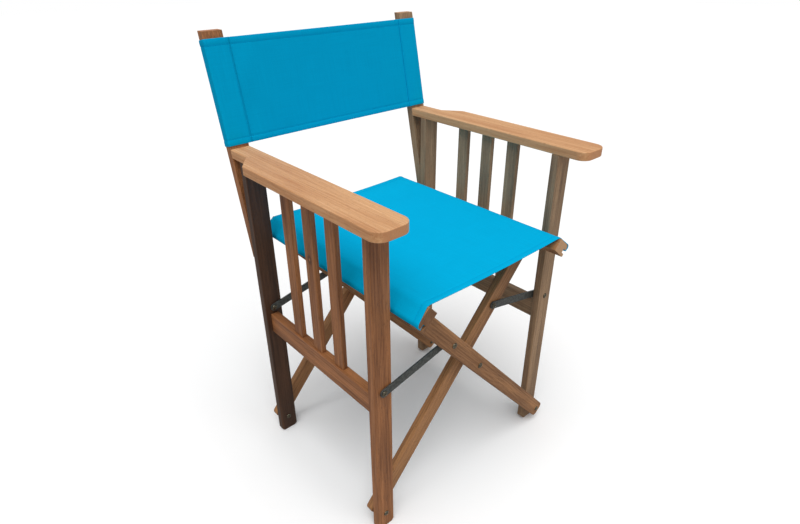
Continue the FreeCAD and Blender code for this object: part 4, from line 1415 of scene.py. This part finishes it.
@dataclass
class Back:
    """The canvas back: a panel, and a sleeve round each upright whose edge is sewn over it.

    Args:
        layout: the chair's places.
        canvas: the cloth's finish.
        stitcher: makes its stitches.
        thick: the cloth's thickness.
        gap: between the cloth and an upright.
        hem: from the cloth's edge to its seam.
        tall: the back's height.
        post_wide: an upright's width.
        flap: how far a sleeve's sewn edge stands in from its upright.
        tuck: how far the panel's edge runs over an upright, under the sleeve.
        dish: how far the panel's middle lies back.
        coarse: longest distance between points.
        folded_share: the panel's width when folded, as a share of its width; not used.
        folded_slope: slope of the line that it is squashed along, which lowers its right end; not used.
        pucker: height of the pucker beside the left seam.
        pucker_in: from the seam to the pucker.
        pucker_wide: the pucker's width.
    """

    layout: Layout
    canvas: bpy.types.Material
    stitcher: Stitcher
    thick: float = 0.0009
    gap: float = 0.0004
    hem: float = 0.011
    tall: float = 0.177
    post_wide: float = 0.037
    flap: float = 0.0075
    tuck: float = 0.012
    dish: float = 0.0035
    coarse: float = 0.006
    folded_share: float = 0.441
    folded_slope: float = 0.05
    pucker: float = 0.0008
    pucker_in: float = 0.02
    pucker_wide: float = 0.016

    def place(self, x: float, up: float, front: float) -> Vector:
        """A point of the back.

        Args:
            x: left to right.
            up: distance up the uprights from the canvas's lower edge.
            front: distance in front of the uprights' front faces.

        Returns:
            The point.
        """
        rise, back = math.cos(self.layout.lean), math.sin(self.layout.lean)
        return Vector((x, self.layout.back_face + up * back - front * rise,
                       self.layout.back_level + up * rise + front * back))

    def panel_front(self, x: float, up: float) -> float:
        """How far the panel's middle stands in front of the uprights: it dishes back between them."""
        inner = self.layout.side_x - self.post_wide / 2 - self.flap
        bulge = max(0.0, 1 - (x / inner) ** 2) ** 1.5
        edge = 0.75 + 0.25 * math.sin(math.pi * min(max(up / self.tall, 0.0), 1.0))
        near = math.exp(-((x + inner - self.pucker_in) / self.pucker_wide) ** 2)
        pucker = self.pucker * near * math.cos(up / self.tall * 9.0)
        return self.gap + self.thick / 2 - self.dish * bulge * edge + pucker

    def sleeve_line(self) -> list[tuple[float, float]]:
        """A sleeve's line round a right upright, as x from its middle and distance in front of it.

        Returns:
            Points from the sewn edge in front, round the outer side and the back, to the sewn edge behind.
        """
        half, thick = self.post_wide / 2, self.thick
        snug = self.gap + thick / 2
        over = self.gap + thick * 1.5 + 0.0001
        back = -(UPRIGHT_THICK + snug)
        inner = -(half + self.flap)
        corners = [
            (inner, over + 0.0002, 0.0),
            (half * 0.4, over, 0.03),
            (half * 0.75, snug + 0.0003, 0.03),
            (half + snug, snug, 0.0022),
            (half + snug, back, 0.0022),
            (-half - snug, back, 0.0022),
            (-half - snug, -thick - 0.002, 0.0025),
            (inner, -thick * 0.8, 0.0),
        ]
        return filled_in(rounded_path(corners, 0.0009), self.coarse)

    def build(self) -> None:
        """Make the panel, the sleeves and their stitches."""
        along = ticks(self.tall, self.hem, self.coarse)
        panel, stitches, wide = self.panel(along)
        for piece in (panel, stitches):
            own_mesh(piece)
            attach(piece, "left_frame")
        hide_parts("back_canvas")
        for side in Side:
            self.sleeve(side, along)

    def panel(self, along: Sequence[float]) -> tuple[bpy.types.Object, bpy.types.Object, float]:
        """The panel between the sleeves, and the stitches of its hems.

        Args:
            along: positions up the cloth.

        Returns:
            The panel, its stitches and its flat width.
        """
        half = self.layout.side_x - self.post_wide / 2 + self.tuck
        count = round(2 * half / self.coarse)
        xs = [-half + 2 * half * number / count for number in range(count + 1)]
        grid = [[self.place(x, up, self.panel_front(x, up) + hem_height(up, self.tall, self.hem))
                 for up in along] for x in xs]
        widths = travelled([column[len(along) // 2] for column in grid])
        panel = sheet_mesh("back_panel", grid, widths, along, self.thick)
        panel.data.materials.append(self.canvas)
        seen = self.layout.side_x - self.post_wide / 2 - self.flap - 0.001
        proud = self.thick / 2 + STITCH_PROUD
        lines = [[self.place(x, up, self.panel_front(x, up) + face * proud) for x in xs if abs(x) < seen]
                 for up in (self.hem, self.tall - self.hem) for face in (1, -1)]
        stitches = self.stitcher.sew("back_panel_stitches", lines)
        LOG.info("back panel: %.3f by %.3f m flat", widths[-1], self.tall)
        return panel, stitches, widths[-1]

    def sleeve(self, side: Side, along: Sequence[float]) -> None:
        """One sleeve and its stitches.

        Args:
            side: which upright it is round.
            along: positions up the cloth.
        """
        line = self.sleeve_line()
        middle = side.value * self.layout.side_x
        around = travelled(line)
        grid = []
        for index, (across, front) in enumerate(line):
            before, after = line[max(index - 1, 0)], line[min(index + 1, len(line) - 1)]
            way = Vector((after[0] - before[0], after[1] - before[1])).normalized()
            out = Vector((-way.y, way.x))
            column = []
            for up in along:
                lift = hem_height(up, self.tall, self.hem)
                column.append(self.place(middle + side.value * (across + out.x * lift), up, front + out.y * lift))
            grid.append(column)
        if side is Side.LEFT:
            grid.reverse()
        sleeve = sheet_mesh(f"{side.word}_back_sleeve", grid, around, along, self.thick)
        sleeve.data.materials.append(self.canvas)
        proud = self.thick / 2 + STITCH_PROUD
        across, front = line[0][0] + 0.003, line[0][1] + proud
        ups = [0.004 + (self.tall - 0.008) * number / 30 for number in range(31)]
        lines = [[self.place(middle + side.value * across, up, front) for up in ups]]
        for up in (self.hem, self.tall - self.hem):
            shown = [point for point in line if point[1] > -UPRIGHT_THICK * 0.4 and point[0] > line[0][0] + 0.002]
            lines.append([self.place(middle + side.value * (across + (proud if across > self.post_wide / 2 else 0)),
                                     up, front + (proud if front > 0 else 0)) for across, front in shown])
        stitches = self.stitcher.sew(f"{side.word}_sleeve_stitches", lines)
        for piece in (sleeve, stitches):
            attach(piece, side.word + "_frame")
        LOG.info("%s sleeve: %.3f by %.3f m flat", side.word, around[-1], self.tall)


# ----- Studio -----


@dataclass
class Studio:
    """The camera, the floor and the lights.

    Args:
        eye: the camera's place.
        forward: the way it looks.
        roll: its turn about that way, in degrees.
        lens: its focal length in millimetres.
        shift: its lens shift, sideways and up.
        sky: strength of the world's light on the chair.
    """

    eye: Vector
    forward: Vector
    roll: float = -0.49
    lens: float = 25.25
    shift: tuple[float, float] = (0.0036, 0.0109)
    sky: float = 0.36

    def build(self) -> None:
        """Set up the camera, floor, world and lights."""
        self.camera()
        self.floor()
        bpy.context.scene.view_settings.view_transform = "Standard"
        sun = self.lamp("key_light", "SUN", (0.0, 0.0, 0.0), Vector((0.24, 0.28, -1.0)), 2.4)
        sun.angle = math.radians(56.0)
        place = Vector((1.2, -2.6, 1.5))
        self.lamp("fill_light", "AREA", place, Vector((0.0, 0.0, 0.4)) - place, 5.0).size = 1.6
        world = bpy.data.worlds.new("studio")
        world.use_nodes = True
        make = Nodes(world.node_tree)
        background = world.node_tree.nodes["Background"]
        background.inputs["Color"].default_value = (1.0, 1.0, 1.0, 1.0)
        seen = make.add("ShaderNodeLightPath").outputs["Is Camera Ray"]
        make.give(background, "Strength", make.span(seen, 0.0, 1.0, self.sky, 1.0))
        bpy.context.scene.world = world

    def camera(self) -> None:
        """The camera, at the height and angle of a standing person's eyes."""
        data = bpy.data.cameras.new("camera")
        data.lens = self.lens
        data.sensor_width = 36.0
        data.shift_x, data.shift_y = self.shift
        camera = new_object("camera", data)
        aim = self.forward.to_track_quat("-Z", "Y").to_matrix().to_4x4()
        camera.matrix_world = Matrix.Translation(self.eye) @ aim @ Matrix.Rotation(math.radians(self.roll), 4, "Z")
        bpy.context.scene.camera = camera

    def floor(self) -> None:
        """A wide pale floor."""
        mesh = bpy.data.meshes.new("floor")
        reach = 12.0
        mesh.from_pydata([(-reach, -reach, 0), (reach, -reach, 0), (reach, reach, 0), (-reach, reach, 0)], [],
                         [(0, 1, 2, 3)])
        material, make, shader = new_material("pale_floor")
        seen = make.add("ShaderNodeLightPath").outputs["Is Camera Ray"]
        make.give(shader, "Base Color", make.mix(seen, (0.46, 0.45, 0.44, 1), (0.99, 0.99, 0.99, 1)))
        shader.inputs["Roughness"].default_value = 0.9
        shader.inputs["Specular IOR Level"].default_value = 0.1
        mesh.materials.append(material)
        new_object("floor", mesh)

    @staticmethod
    def lamp(name: str, kind: str, place: Sequence[float], way: Vector, energy: float) -> bpy.types.Light:
        """A light that points one way.

        Args:
            name: its name.
            kind: SUN or AREA.
            place: where it is.
            way: where it points.
            energy: its strength, or its power in watts.

        Returns:
            The light's data, whose width is still to be set.
        """
        data = bpy.data.lights.new(name, kind)
        data.energy = energy
        turn = way.to_track_quat("-Z", "Y").to_matrix().to_4x4()
        new_object(name, data).matrix_world = Matrix.Translation(place) @ turn
        return data


def main() -> None:
    """Build the studio and dress the chair."""
    logging.basicConfig(level=logging.INFO, format="%(message)s")
    layout = Layout.read()
    eye = Vector((EYE_X, layout.front_y - EYE_AHEAD, EYE_HEIGHT))
    Studio(eye, Vector(EYE_WAY)).build()
    groups = {"grain": grain_group(), "wear": wear_group(), "weave": weave_group()}
    zinc = ZINC.build(groups)
    timber = Timber(layout, groups)
    timber.dress()
    timber.dress_links(LINK_STEEL.build(groups))
    Screws(zinc).dress()
    Fasteners(layout, row_tree(), zinc).build()
    stitcher = Stitcher(stitch_tree(), BLUE_THREAD.build(groups))
    Seat(layout, SEAT_CANVAS.build(groups), stitcher).build()
    # The back's canvas colours are darkened with painted shade.
    Back(layout, SHADED_BACK_CANVAS.build(groups), stitcher).build()


if __name__ == "__main__":
    main()
